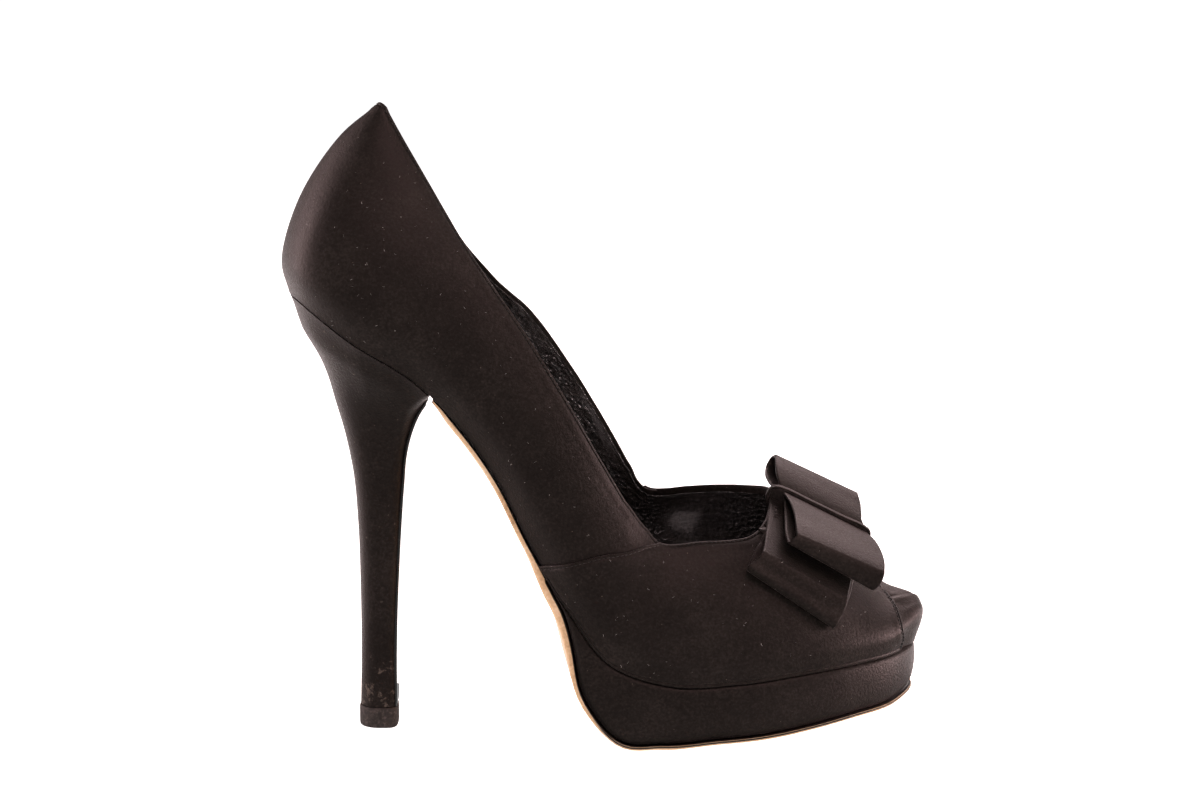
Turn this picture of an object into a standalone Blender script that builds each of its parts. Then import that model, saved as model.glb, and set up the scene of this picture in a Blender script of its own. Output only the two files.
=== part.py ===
"""A women's platform pump: a satin upper on a high heel last, a wrapped platform, a leather outsole and a flat bow.

The shoe points along +X and stands on Z = 0, centred over the origin. Its outer side faces -Y. Units are metres.
"""

from collections import namedtuple
from math import cos, pi, radians, sin, tan

import bmesh
import bpy
import numpy as np
from mathutils import Matrix, Vector
from mathutils.bvhtree import BVHTree

# Driving dimensions
LENGTH = 0.202
BALL_WIDTH = 0.078
HEEL_HEIGHT = 0.1406
PLATFORM_HEIGHT = 0.0234
BACK_HEIGHT = 0.059
INSTEP_HEIGHT = 0.050
UPPER_WALL = 0.0018
INSOLE_THICKNESS = 0.0020
OUTSOLE_THICKNESS = 0.0024
WAIST_THICKNESS = 0.0036
SOLE_EDGE_LIFT = 0.0024
SOLE_EDGE_THICKNESS = 0.0013
TOP_PIECE_HEIGHT = 0.0066
TOP_PIECE_LIP = 0.0004
BREAST_THICKNESS = 0.0009
RIBBON_WIDTH = 0.0300
RIBBON_SLOPE = radians(26)
BAND_WIDTH = 0.0044
GAP = 0.0003

HALF_WIDTH = BALL_WIDTH / 2
EDGE_REACH = 0.75
OUTSOLE_START = 0.2430
BOW_START = 0.7782
BOW_RISE = 0.0034
BOW_SWING = 0.0015
MOST_DEPTH = PLATFORM_HEIGHT
LIFT = HEEL_HEIGHT - PLATFORM_HEIGHT

# Mesh steps
ROUND_STEPS = 76
LEVEL_STEPS = 12
SOLE_STEPS = 58
CROSS_STEPS = 8
RING_STEPS = 28
RIBBON_STEPS = 7

# The upper, a row for each section from the back seam to the toe tip. Each point is (along, side, height).
# along is a share of LENGTH and side a share of HALF_WIDTH. The feather's height is a share of LIFT above the
# platform, and the others are shares of the row's own wall height above the feather.
Section = namedtuple("Section", "name wall swing feather girth shoulder crest topline")
SECTIONS = [
    Section("back seam", BACK_HEIGHT, 0.000,
            (0.011, 0.000, 1.000), (0.000, 0.000, 0.176), (0.027, 0.000, 0.490),
            (0.090, 0.000, 0.820), (0.152, 0.000, 0.997)),
    Section("heel curve", BACK_HEIGHT, 0.000,
            (0.037, 0.372, 0.986), (0.034, 0.449, 0.186), (0.061, 0.405, 0.466),
            (0.119, 0.272, 0.771), (0.165, 0.149, 0.990)),
    Section("heel side", BACK_HEIGHT, 0.000,
            (0.115, 0.590, 0.894), (0.124, 0.687, 0.183), (0.156, 0.631, 0.454),
            (0.200, 0.492, 0.675), (0.235, 0.323, 0.834)),
    Section("breast", BACK_HEIGHT, -0.021,
            (0.215, 0.564, 0.784), (0.233, 0.687, 0.164), (0.266, 0.667, 0.368),
            (0.299, 0.577, 0.503), (0.325, 0.487, 0.578)),
    Section("waist back", BACK_HEIGHT, -0.041,
            (0.277, 0.526, 0.671), (0.300, 0.682, 0.119), (0.337, 0.703, 0.263),
            (0.366, 0.651, 0.373), (0.390, 0.585, 0.464)),
    Section("waist", BACK_HEIGHT, -0.056,
            (0.336, 0.551, 0.530), (0.361, 0.728, 0.110), (0.396, 0.754, 0.246),
            (0.426, 0.708, 0.347), (0.450, 0.656, 0.415)),
    Section("waist front", BACK_HEIGHT, -0.041,
            (0.389, 0.667, 0.355), (0.416, 0.815, 0.119), (0.450, 0.826, 0.263),
            (0.479, 0.769, 0.376), (0.500, 0.697, 0.458)),
    Section("joint back", BACK_HEIGHT, -0.021,
            (0.446, 0.808, 0.197), (0.468, 0.918, 0.127), (0.500, 0.908, 0.293),
            (0.525, 0.821, 0.422), (0.543, 0.718, 0.527)),
    Section("joint", INSTEP_HEIGHT, -0.005,
            (0.515, 0.923, 0.051), (0.535, 0.985, 0.182), (0.558, 0.954, 0.412),
            (0.576, 0.851, 0.602), (0.587, 0.718, 0.732)),
    Section("ball", INSTEP_HEIGHT, 0.005,
            (0.606, 0.964, 0.000), (0.616, 1.000, 0.182), (0.634, 0.949, 0.482),
            (0.646, 0.805, 0.722), (0.653, 0.641, 0.858)),
    Section("vamp", INSTEP_HEIGHT, 0.021,
            (0.710, 0.954, 0.004), (0.710, 0.990, 0.162), (0.713, 0.908, 0.452),
            (0.717, 0.718, 0.712), (0.718, 0.533, 0.854)),
    Section("vamp front", INSTEP_HEIGHT, 0.049,
            (0.802, 0.897, 0.022), (0.802, 0.928, 0.150), (0.799, 0.808, 0.410),
            (0.777, 0.577, 0.688), (0.747, 0.359, 0.878)),
    Section("toe shoulder", INSTEP_HEIGHT, 0.079,
            (0.884, 0.751, 0.034), (0.888, 0.774, 0.138), (0.879, 0.628, 0.328),
            (0.829, 0.385, 0.624), (0.758, 0.185, 0.910)),
    Section("toe corner", INSTEP_HEIGHT, 0.105,
            (0.947, 0.521, 0.039), (0.959, 0.521, 0.152), (0.923, 0.372, 0.336),
            (0.859, 0.205, 0.576), (0.762, 0.077, 0.918)),
    Section("toe tip", INSTEP_HEIGHT, 0.121,
            (0.989, 0.000, 0.039), (1.000, 0.000, 0.220), (0.942, 0.000, 0.344),
            (0.868, 0.000, 0.576), (0.762, 0.000, 0.920)),
]
LEVELS = (0.0, 0.20, 0.45, 0.74, 1.0)

# How the inner side's topline differs from the outer side's: shares of LENGTH and of the row's wall height.
InnerTopline = namedtuple("InnerTopline", "name back up")
INNER_TOPLINE = [
    InnerTopline("heel curve", 0.000, -0.050),
    InnerTopline("heel side", 0.000, -0.132),
    InnerTopline("breast", 0.000, -0.126),
    InnerTopline("waist back", 0.000, -0.008),
    InnerTopline("waist", 0.000, 0.012),
    InnerTopline("waist front", 0.000, 0.010),
    InnerTopline("joint back", 0.004, 0.015),
    InnerTopline("joint", 0.014, 0.085),
    InnerTopline("ball", 0.008, 0.120),
    InnerTopline("vamp", 0.000, 0.140),
    InnerTopline("vamp front", -0.002, 0.110),
    InnerTopline("toe shoulder", 0.000, 0.060),
    InnerTopline("toe corner", 0.000, 0.020),
]

# How deep the shoe's bottom lies under the feather's surface, square to it, as a share of MOST_DEPTH. "edge" is how
# far the sides rise from there as a share of SOLE_EDGE_LIFT.
Depth = namedtuple("Depth", "along depth edge")
DEPTHS = [
    Depth(0.215, 0.150, 0.90),
    Depth(0.277, 0.150, 1.00),
    Depth(0.336, 0.150, 1.00),
    Depth(0.389, 0.172, 1.00),
    Depth(0.446, 0.285, 0.90),
    Depth(0.515, 0.715, 1.00),
    Depth(0.558, 1.055, 1.65),
    Depth(0.606, 1.052, 1.75),
    Depth(0.655, 0.925, 1.25),
    Depth(0.710, 0.868, 0.90),
    Depth(0.802, 0.800, 0.85),
    Depth(0.884, 0.738, 0.80),
    Depth(0.947, 0.718, 0.70),
    Depth(0.989, 0.675, 0.50),
]

# The heel below its seat, a row for each ring. Back and breast are a share of LENGTH and a share of the height from
# the tip to the seat. half is a share of HALF_WIDTH.
Ring = namedtuple("Ring", "back breast half")
HEEL_RINGS = [
    Ring((0.0218, 0.9627), (0.2307, 0.7726), 0.560),
    Ring((0.0327, 0.9306), (0.2262, 0.7554), 0.490),
    Ring((0.0515, 0.8685), (0.2163, 0.7276), 0.405),
    Ring((0.0673, 0.8097), (0.2069, 0.6961), 0.333),
    Ring((0.0802, 0.7397), (0.1985, 0.6590), 0.270),
    Ring((0.0936, 0.6666), (0.1916, 0.6141), 0.226),
    Ring((0.1054, 0.5762), (0.1871, 0.5468), 0.193),
    Ring((0.1129, 0.4342), (0.1812, 0.4342), 0.174),
    Ring((0.1149, 0.2849), (0.1752, 0.2849), 0.164),
    Ring((0.1151, 0.1356), (0.1718, 0.1356), 0.159),
    Ring((0.1129, 0.0000), (0.1708, 0.0000), 0.156),
]

# A pair of bow loops from the near end to the far one, in shares of RIBBON_WIDTH: how far it lies to the side of the
# bow's middle, and where its top and underside are from the crease. The far upper loop stands up more.
# slant draws both ends back, turn draws the far one back and the near one forward, droop lowers the toe side.
BowPoint = namedtuple("BowPoint", "side top underside")
Loops = namedtuple("Loops", "slant turn droop rows")
UPPER_LOOPS = Loops(0.00, 0.11, 0.22, [
    BowPoint(-0.907, -0.187, -0.247),
    BowPoint(-0.853, -0.130, -0.313),
    BowPoint(-0.733, -0.090, -0.307),
    BowPoint(-0.500, -0.053, -0.210),
    BowPoint(-0.267, -0.030, -0.130),
    BowPoint(-0.093, -0.010, -0.060),
    BowPoint(0.093, -0.010, -0.053),
    BowPoint(0.153, 0.093, -0.067),
    BowPoint(0.300, 0.200, -0.107),
    BowPoint(0.500, 0.227, -0.160),
    BowPoint(0.700, 0.173, -0.213),
    BowPoint(0.833, 0.073, -0.227),
    BowPoint(0.900, -0.047, -0.133),
])
LOWER_LOOPS = Loops(0.24, 0.00, 0.12, [
    BowPoint(-1.133, -0.547, -0.687),
    BowPoint(-1.100, -0.493, -0.753),
    BowPoint(-0.933, -0.430, -0.693),
    BowPoint(-0.667, -0.323, -0.553),
    BowPoint(-0.333, -0.180, -0.353),
    BowPoint(-0.100, -0.097, -0.207),
    BowPoint(0.100, -0.097, -0.207),
    BowPoint(0.333, -0.180, -0.353),
    BowPoint(0.667, -0.323, -0.553),
    BowPoint(0.933, -0.430, -0.693),
    BowPoint(1.100, -0.493, -0.753),
    BowPoint(1.133, -0.547, -0.687),
])

# The band's outline along the foot, a row for each bend: shares of the ribbon's length along the foot, and heights
# above the crease in shares of RIBBON_WIDTH, on its inner and outer faces.
BandPoint = namedtuple("BandPoint", "inner inner_height outer outer_height")
BAND = [
    BandPoint(-0.045, -0.125, -0.077, -0.125),
    BandPoint(-0.045, -0.010, -0.077, 0.005),
    BandPoint(-0.028, 0.010, -0.044, 0.040),
    BandPoint(1.006, 0.010, 1.022, 0.040),
    BandPoint(1.020, -0.010, 1.052, 0.010),
    BandPoint(1.020, -0.190, 1.052, -0.190),
]


def smooth(knots, values, at):
    """A smooth curve through values at knots, with each slope taken from the two spans beside its knot."""
    knots = np.asarray(knots, float)
    values = np.asarray(values, float).reshape(len(knots), -1)
    spans = np.diff(knots)
    rates = np.diff(values, axis=0) / spans[:, None]
    slopes = np.empty_like(values)
    slopes[0], slopes[-1] = rates[0], rates[-1]
    weight = (spans[:-1] / (spans[:-1] + spans[1:]))[:, None]
    slopes[1:-1] = rates[:-1] * (1 - weight) + rates[1:] * weight
    at = np.atleast_1d(np.asarray(at, float))
    span = np.clip(np.searchsorted(knots, at, side="right") - 1, 0, len(spans) - 1)
    step = spans[span][:, None]
    u = (at[:, None] - knots[span][:, None]) / step
    start, end = values[span], values[span + 1]
    return (
        start * (2 * u**3 - 3 * u**2 + 1)
        + end * (3 * u**2 - 2 * u**3)
        + slopes[span] * step * (u**3 - 2 * u**2 + u)
        + slopes[span + 1] * step * (u**3 - u**2)
    )


def section_points(section, side):
    """The five points of one section, on the outer side (-1) or the inner side (+1), in metres."""
    base = PLATFORM_HEIGHT + section.feather[2] * LIFT
    rows = []
    for level in ("feather", "girth", "shoulder", "crest", "topline"):
        along, out, up = getattr(section, level)
        height = base if level == "feather" else base + up * section.wall
        rows.append([along * LENGTH, (section.swing + side * out) * HALF_WIDTH, height])
    if side > 0:
        for change in INNER_TOPLINE:
            if change.name == section.name:
                rows[4][0] -= change.back * LENGTH
                rows[4][2] += change.up * section.wall
                rows[3][2] += 0.6 * change.up * section.wall
    return rows


def last_walk():
    """Every section in order round the shoe: outer side from back to toe, then inner side from toe to back."""
    outer = [section_points(section, -1) for section in SECTIONS]
    inner = [section_points(section, 1) for section in SECTIONS[1:-1]]
    return np.array(outer + inner[::-1])


WALK = last_walk()
TOE_ROW = len(SECTIONS) - 1


def walk_knots():
    """The distance walked round the shoe at each section, measured at the girth, closed at the end."""
    girth = np.vstack([WALK[:, 1], WALK[:1, 1]])
    return np.concatenate([[0.0], np.cumsum(np.linalg.norm(np.diff(girth, axis=0), axis=1))])


KNOTS = walk_knots()
ROUND = KNOTS[-1]
TOE_AT = KNOTS[TOE_ROW]


def around(values, at):
    """A closed smooth curve round the shoe through one value for each section of WALK."""
    values = np.asarray(values, float).reshape(len(WALK), -1)
    knots = np.concatenate([KNOTS[-4:-1] - ROUND, KNOTS, KNOTS[1:4] + ROUND])
    closed = np.vstack([values[-3:], values, values[:4]])
    return smooth(knots, closed, np.asarray(at, float) % ROUND)


def upper_grid(at, levels):
    """Points of the upper's outer face: a row for each distance round the shoe, a column for each level."""
    lines = [around(WALK[:, level], at) for level in range(5)]
    columns = np.stack(lines, axis=1)
    return np.stack([smooth(LEVELS, row, levels) for row in columns])


def feather_line(at):
    """The middle of the feather's surface at each distance: along, height, half width and swing."""
    outer = around(WALK[:, 0], at)
    inner = around(WALK[:, 0], (2 * TOE_AT - np.asarray(at)) % ROUND)
    return outer[:, 0], outer[:, 2], (inner[:, 1] - outer[:, 1]) / 2, (inner[:, 1] + outer[:, 1]) / 2


def sole_stations():
    """Evenly spaced distances from back to toe, with one moved to where the outsole starts at the heel's breast."""
    at = np.linspace(0, TOE_AT, SOLE_STEPS)
    fine = np.linspace(KNOTS[3], KNOTS[5], 200)
    start = np.interp(OUTSOLE_START * LENGTH, feather_line(fine)[0], fine)
    at[int(np.argmin(np.abs(at - start)))] = start
    return at, start


STATIONS, OUTSOLE_AT = sole_stations()


def slopes_of(at):
    """Per unit of the side view's length: the feather surface's tangent, and how fast its half width grows."""
    step = 0.0015
    ahead = feather_line(np.minimum(np.asarray(at) + step, TOE_AT))
    behind = feather_line(np.maximum(np.asarray(at) - step, 0.0))
    along, rise, half = (ahead[k] - behind[k] for k in range(3))
    run = np.hypot(along, rise)
    return along / run, rise / run, half, run


def up_normal(at):
    """The direction square to the feather's surface in the side view, pointing up."""
    tangent_x, tangent_z, _, _ = slopes_of(at)
    return -tangent_z, tangent_x


def sole_points(at, across, height, widen=0.0):
    """A grid in the sole's own space: distance from back to toe, share across, height above the feather surface.

    widen moves the outline outwards, square to itself, so that it also moves the toe and the heel.
    """
    along, rise, half, swing = feather_line(at)
    tangent_x, tangent_z, growth, run = slopes_of(at)
    turned = np.hypot(growth, run)
    forward = -widen * growth / turned
    across = np.asarray(across)[None, :]
    height = np.broadcast_to(height, (len(along), across.shape[1]))
    outer = np.where(half > 1e-6, half + widen * run / turned, 0.0)[:, None]
    return np.stack([
        (along + tangent_x * forward)[:, None] - tangent_z[:, None] * height,
        swing[:, None] + outer * across,
        (rise + tangent_z * forward)[:, None] + tangent_x[:, None] * height,
    ], axis=2)


def edge_nearness(at, across):
    """1 on the sole's outline, the toe's tip included, falling to 0 well inside it."""
    half = feather_line(at)[2][:, None]
    inside = half * (1 - np.abs(np.asarray(across))[None, :])
    return np.clip(1 - inside / (EDGE_REACH * HALF_WIDTH), 0, 1)


def bottom_height(at, across):
    """The height of the shoe's bottom above the feather's surface, which is negative."""
    along = feather_line(at)[0] / LENGTH
    rows = np.array(DEPTHS)
    depth, edge = smooth(rows[:, 0], rows[:, 1:], np.clip(along, rows[0, 0], rows[-1, 0])).T
    rise = (edge * SOLE_EDGE_LIFT)[:, None] * edge_nearness(at, across) ** 3
    return np.minimum(rise - (depth * MOST_DEPTH)[:, None], -3 * GAP - SOLE_EDGE_THICKNESS)


def sole_thickness(at):
    """The leather's thickness: full in the waist, thinner from the ball forward."""
    along = feather_line(at)[0] / LENGTH
    share = np.clip((along - 0.40) / 0.16, 0, 1)
    share = share**2 * (3 - 2 * share)
    return (WAIST_THICKNESS + (OUTSOLE_THICKNESS - WAIST_THICKNESS) * share)[:, None]


def platform_stations():
    """The stations where the wedge between feather and outsole is thick enough to be a piece."""
    room = -(bottom_height(STATIONS, np.zeros(1)) + sole_thickness(STATIONS))[:, 0]
    first = int(np.argmax((room > 4 * GAP) & (STATIONS > KNOTS[4])))
    return STATIONS[first:]


def outsole_top(at, across):
    """The leather's upper face: on the feather's surface in the waist, under the platform further forward."""
    under = bottom_height(at, across) + sole_thickness(at)
    ceiling = np.where(np.asarray(at) >= platform_stations()[0] - 1e-9, -3 * GAP, -GAP)
    top = np.minimum(ceiling[:, None], under)
    return np.maximum(top, bottom_height(at, across) + SOLE_EDGE_THICKNESS)


def mesh_object(name, points, faces, parts, material, smooth_angle=40):
    """One named object from points and faces, with doubled points merged and its faces turned outwards."""
    mesh = bpy.data.meshes.new(name)
    mesh.from_pydata([tuple(point) for point in points], [], faces)
    shape = bmesh.new()
    shape.from_mesh(mesh)
    bmesh.ops.remove_doubles(shape, verts=shape.verts, dist=2e-6)
    bmesh.ops.dissolve_degenerate(shape, edges=shape.edges, dist=2e-6)
    bmesh.ops.recalc_face_normals(shape, faces=shape.faces)
    shape.to_mesh(mesh)
    shape.free()
    mesh.shade_smooth()
    mesh.set_sharp_from_angle(angle=radians(smooth_angle))
    mesh.materials.append(material)
    thing = bpy.data.objects.new(name, mesh)
    parts.objects.link(thing)
    return thing


def grid_faces(rows, columns, start=0, wrap=False):
    """Quads over a grid of points stored row by row."""
    last = rows if wrap else rows - 1
    return [
        (start + i * columns + j, start + i * columns + j + 1,
         start + (i + 1) % rows * columns + j + 1, start + (i + 1) % rows * columns + j)
        for i in range(last) for j in range(columns - 1)
    ]


def slab(name, skins, parts, material):
    """A solid between a lower and an upper grid, with any grids in between giving the shape of its edge."""
    rows, columns = skins[0].shape[:2]
    points, faces = [], []
    rims = []
    for skin in (skins[0], skins[-1]):
        start = len(points)
        points.extend(skin.reshape(-1, 3))
        faces += grid_faces(rows, columns, start)
    border = (
        [(i, 0) for i in range(rows)] + [(rows - 1, j) for j in range(1, columns)]
        + [(i, columns - 1) for i in range(rows - 2, -1, -1)] + [(0, j) for j in range(columns - 2, 0, -1)]
    )
    for skin in skins:
        rims.append(len(points))
        points.extend(skin[i, j] for i, j in border)
    for low, high in zip(rims, rims[1:]):
        for k in range(len(border)):
            following = (k + 1) % len(border)
            faces.append((low + k, low + following, high + following, high + k))
    return mesh_object(name, points, faces, parts, material)


def rings_solid(name, rings, parts, material):
    """A solid through closed rings of equally many points, each end closed with a fan about its middle."""
    count = len(rings[0])
    points = [point for ring in rings for point in ring]
    faces = []
    for i in range(len(rings) - 1):
        for j in range(count):
            following = (j + 1) % count
            faces.append((i * count + j, i * count + following,
                          (i + 1) * count + following, (i + 1) * count + j))
    for i in (0, len(rings) - 1):
        middle = len(points)
        points.append(np.mean(rings[i], axis=0))
        faces += [(i * count + j, i * count + (j + 1) % count, middle) for j in range(count)]
    return mesh_object(name, points, faces, parts, material)


def material_of(name, colour, roughness, metallic=0.0):
    material = bpy.data.materials.new(name)
    material.use_nodes = True
    shader = material.node_tree.nodes["Principled BSDF"]
    shader.inputs["Base Color"].default_value = (*colour, 1)
    shader.inputs["Roughness"].default_value = roughness
    shader.inputs["Metallic"].default_value = metallic
    return material


def clear_scene():
    for thing in list(bpy.data.objects):
        bpy.data.objects.remove(thing)


def make_upper(parts, satin):
    """Vamp, quarters and toe cap: an open lasted face from feather to topline, thickened inwards."""
    at = np.arange(ROUND_STEPS) / ROUND_STEPS * ROUND
    levels = np.linspace(0, 1, LEVEL_STEPS)
    grid = upper_grid(at, levels)
    faces = grid_faces(ROUND_STEPS, LEVEL_STEPS, wrap=True)
    upper = mesh_object("upper", grid.reshape(-1, 3), faces, parts, satin)
    wall = upper.modifiers.new("wall", "SOLIDIFY")
    wall.thickness = UPPER_WALL
    wall.offset = -1
    wall.use_even_offset = True
    wall.thickness_clamp = 0
    return upper


def make_insole(parts, leather):
    """The board and sock, inside the wall and a gap above the sole."""
    at = STATIONS
    across = np.linspace(-1, 1, CROSS_STEPS + 1)
    inset = -(UPPER_WALL + 3 * GAP)
    low = sole_points(at, across, 0.0, inset)
    high = sole_points(at, across, INSOLE_THICKNESS, inset)
    return slab("insole", [low, high], parts, leather)


def make_platform(parts, satin):
    """The wrapped wedge: its sides bulge a little and lean in towards the outsole."""
    at = platform_stations()
    across = np.linspace(-1, 1, CROSS_STEPS + 1)
    bottom = bottom_height(at, across) + sole_thickness(at) + GAP
    bottom = np.minimum(bottom, -2 * GAP)
    skins = [sole_points(at, across, bottom, -0.0008)]
    for share, widen in ((0.18, 0.0005), (0.55, 0.0010), (0.90, 0.0006)):
        skins.append(sole_points(at, across, bottom + (-GAP - bottom) * share, widen))
    skins.append(sole_points(at, across, -GAP, 0.0002))
    return slab("platform", skins, parts, satin)


def make_outsole(parts, leather):
    """The leather sole from the heel's breast to the toe, pressed flat where it meets the ground."""
    at = STATIONS[STATIONS >= OUTSOLE_AT]
    across = np.linspace(-1, 1, CROSS_STEPS + 1)
    low = sole_points(at, across, bottom_height(at, across), -0.0008)
    high = sole_points(at, across, outsole_top(at, across), -0.0006)
    low[..., 2] = np.maximum(low[..., 2], 0.0)
    return slab("outsole", [low, high], parts, leather)


def heel_point(shares):
    """A point on the heel's middle line: the lowest lies a gap above the tip."""
    foot = TOP_PIECE_HEIGHT + GAP
    return np.array([shares[0] * LENGTH, 0, foot + shares[1] * (HEEL_HEIGHT - foot)])


def heel_ring(ring, grow=0.0):
    """A closed ring: a round back and sides, and a nearly flat breast, between its back and breast points."""
    back, breast = heel_point(ring.back), heel_point(ring.breast)
    forward = (breast - back) / np.linalg.norm(breast - back)
    depth = np.linalg.norm(breast - back) + grow
    half = ring.half * HALF_WIDTH + grow
    middle = back + forward * (depth - grow) * 0.52
    points = []
    for k in range(RING_STEPS):
        turn = 2 * pi * k / RING_STEPS
        reach, side = cos(turn), sin(turn)
        if reach < 0:
            out = reach * (0.52 * depth + grow / 2)
            width = side
        else:
            out = abs(reach) ** 0.42 * (0.48 * depth + grow / 2)
            width = np.sign(side) * abs(side) ** 0.62
        points.append(middle + forward * out + np.array([0, width * half, 0]))
    return points


def seat_ring(share, drop):
    """The heel's top, this share of the way out to its edge, following the feather's surface from below."""
    ring = np.array(heel_ring(HEEL_RINGS[0]))
    middle = ring.mean(axis=0)
    at = np.linspace(0, KNOTS[3], 300)
    along, rise, half, swing = feather_line(at)
    normal_x, normal_z = up_normal(at)
    points = []
    for point in middle + (ring - middle) * share:
        k = int(np.argmin(np.abs(along - point[0])))
        width = np.clip(point[1] * 1.08, swing[k] - half[k], swing[k] + half[k])
        points.append(np.array([along[k] - normal_x[k] * drop, width, rise[k] - normal_z[k] * drop]))
    return points


def make_heel(parts, satin):
    rings = [seat_ring(0.5, 2 * GAP), seat_ring(1.0, GAP)] + [heel_ring(ring) for ring in HEEL_RINGS]
    return rings_solid("heel", rings, parts, satin)


def make_heel_breast(parts, patent):
    """The thin cover on the heel's front face."""
    inner, outer = [], []
    across = np.linspace(-1, 1, 9)
    for ring in HEEL_RINGS[2:]:
        back, breast = heel_point(ring.back), heel_point(ring.breast)
        forward = (breast - back) / np.linalg.norm(breast - back)
        width = 0.80 * ring.half * HALF_WIDTH
        inner.append([breast + forward * GAP + np.array([0, v * width, 0]) for v in across])
        outer.append([breast + forward * (GAP + BREAST_THICKNESS) + np.array([0, v * width, 0]) for v in across])
    return slab("heel_breast", [np.array(inner), np.array(outer)], parts, patent)


def make_top_piece(parts, rubber):
    """The tip: the heel's last ring, a little proud, from the ground up to the heel."""
    last = HEEL_RINGS[-1]
    outline = np.array(heel_ring(last, TOP_PIECE_LIP))
    rings = []
    for height, shrink in ((0.0, 0.985), (0.0008, 1.0), (TOP_PIECE_HEIGHT, 1.0)):
        ring = outline.copy()
        middle = ring.mean(axis=0)
        ring = middle + (ring - middle) * shrink
        ring[:, 2] = height
        rings.append(ring)
    return rings_solid("top_piece", rings, parts, rubber)


def vamp_skin():
    """The upper's outer face, as a grid of points that starts and ends at the same one."""
    at = np.arange(ROUND_STEPS + 1) / ROUND_STEPS * ROUND
    return upper_grid(at, np.linspace(0, 1, LEVEL_STEPS))


def probe_tree(skins):
    """A tree over grids of points, to be probed from above."""
    points, faces = [], []
    for skin in skins:
        rows, columns = skin.shape[:2]
        start = len(points)
        points += [Vector(point) for point in skin.reshape(-1, 3)]
        for i in range(rows - 1):
            for j in range(columns - 1):
                corner = start + i * columns + j
                faces.append((corner, corner + 1, corner + columns + 1, corner + columns))
    return BVHTree.FromPolygons(points, faces)


def height_under(tree, along, side):
    """The height of what lies under a point, or the ground where nothing does."""
    hit = tree.ray_cast(Vector((along, side, HEEL_HEIGHT)), Vector((0, 0, -1)))[0]
    return hit.z if hit else 0.0


def crease_height(along):
    """The height of the bow's crease, a straight line sloping down to the toe from just above the throat's edge."""
    throat = section_points(SECTIONS[TOE_ROW], 1)[-1]
    return throat[2] + BOW_RISE - (along - BOW_START * LENGTH) * tan(RIBBON_SLOPE)


def loop_heights(loops, along, side, floor):
    """Underside and top of a pair of loops at a point, both kept above what it rests on."""
    points = np.array(loops.rows)
    share = side / RIBBON_WIDTH
    grow = 1 + loops.droop * (along - BOW_START * LENGTH) / (RIBBON_WIDTH * cos(RIBBON_SLOPE))
    underside = np.interp(share, points[:, 0], points[:, 2]) * grow
    top = np.interp(share, points[:, 0], points[:, 1])
    top = min(top, top * grow)
    crease = crease_height(along)
    bottom = max(crease + underside * RIBBON_WIDTH, floor(along, side) + 2 * GAP)
    return bottom, max(crease + top * RIBBON_WIDTH, bottom + 2 * GAP)


def loop_skins(loops, floor):
    """The underside and the top of a pair of loops, from the ribbon's throat side to its toe side."""
    sides = np.array(loops.rows)[:, 0]
    sides = np.sort(np.concatenate([sides, (sides[1:] + sides[:-1]) / 2])) * RIBBON_WIDTH
    low, high = [], []
    for share in np.linspace(0, 1, RIBBON_STEPS + 1):
        low.append([])
        high.append([])
        for side in sides:
            along = BOW_START * LENGTH + share * RIBBON_WIDTH * cos(RIBBON_SLOPE)
            along -= loops.slant * abs(side) + loops.turn * side
            bottom, top = loop_heights(loops, along, side, floor)
            low[-1].append([along, BOW_SWING + side, bottom])
            high[-1].append([along, BOW_SWING + side, top])
    return np.array(low), np.array(high)


def make_bow(parts, satin):
    """Two pairs of flat loops across the vamp, the shorter on the longer, and the band over their middle."""
    tree = probe_tree([vamp_skin()])

    def on_vamp(along, side):
        return height_under(tree, along, BOW_SWING + side)

    def on_lower(along, side):
        return loop_heights(LOWER_LOOPS, along, side, on_vamp)[1]

    slab("bow_lower", loop_skins(LOWER_LOOPS, on_vamp), parts, satin)
    slab("bow_upper", loop_skins(UPPER_LOOPS, on_lower), parts, satin)
    rows = np.array(BAND)
    half = BAND_WIDTH / 2
    skins = []
    for column in (0, 2):
        along = BOW_START * LENGTH + rows[:, column] * RIBBON_WIDTH * cos(RIBBON_SLOPE)
        height = crease_height(along) + rows[:, column + 1] * RIBBON_WIDTH
        skins.append(np.stack([
            np.stack([along, np.full(len(rows), BOW_SWING + side), height], axis=1) for side in (-half, 0, half)
        ], axis=1))
    slab("bow_band", skins, parts, satin)


def centre_on_floor(parts):
    """Put the middle of the whole shoe over the origin."""
    corners = np.array([tuple(vertex.co) for thing in parts.objects for vertex in thing.data.vertices])
    middle = (corners.min(axis=0) + corners.max(axis=0)) / 2
    for thing in parts.objects:
        thing.data.transform(Matrix.Translation((-middle[0], -middle[1], 0.0)))


def main():
    clear_scene()
    parts = bpy.data.collections.new("platform_pump")
    bpy.context.scene.collection.children.link(parts)
    satin = material_of("satin", (0.017, 0.013, 0.012), 0.42)
    lining = material_of("black_lining", (0.006, 0.006, 0.005), 0.30)
    patent = material_of("black_patent", (0.004, 0.004, 0.004), 0.10)
    leather = material_of("sole_leather", (0.62, 0.38, 0.20), 0.45)
    rubber = material_of("tip_rubber", (0.02, 0.018, 0.017), 0.75)
    make_upper(parts, satin)
    make_insole(parts, lining)
    make_platform(parts, satin)
    make_outsole(parts, leather)
    make_heel(parts, satin)
    make_heel_breast(parts, patent)
    make_top_piece(parts, rubber)
    make_bow(parts, satin)
    centre_on_floor(parts)


main()
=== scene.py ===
from math import cos, pi, radians, sin, tan

import bmesh
import bpy
import numpy as np
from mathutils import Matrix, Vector
from mathutils.bvhtree import BVHTree
from mathutils.kdtree import KDTree


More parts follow.
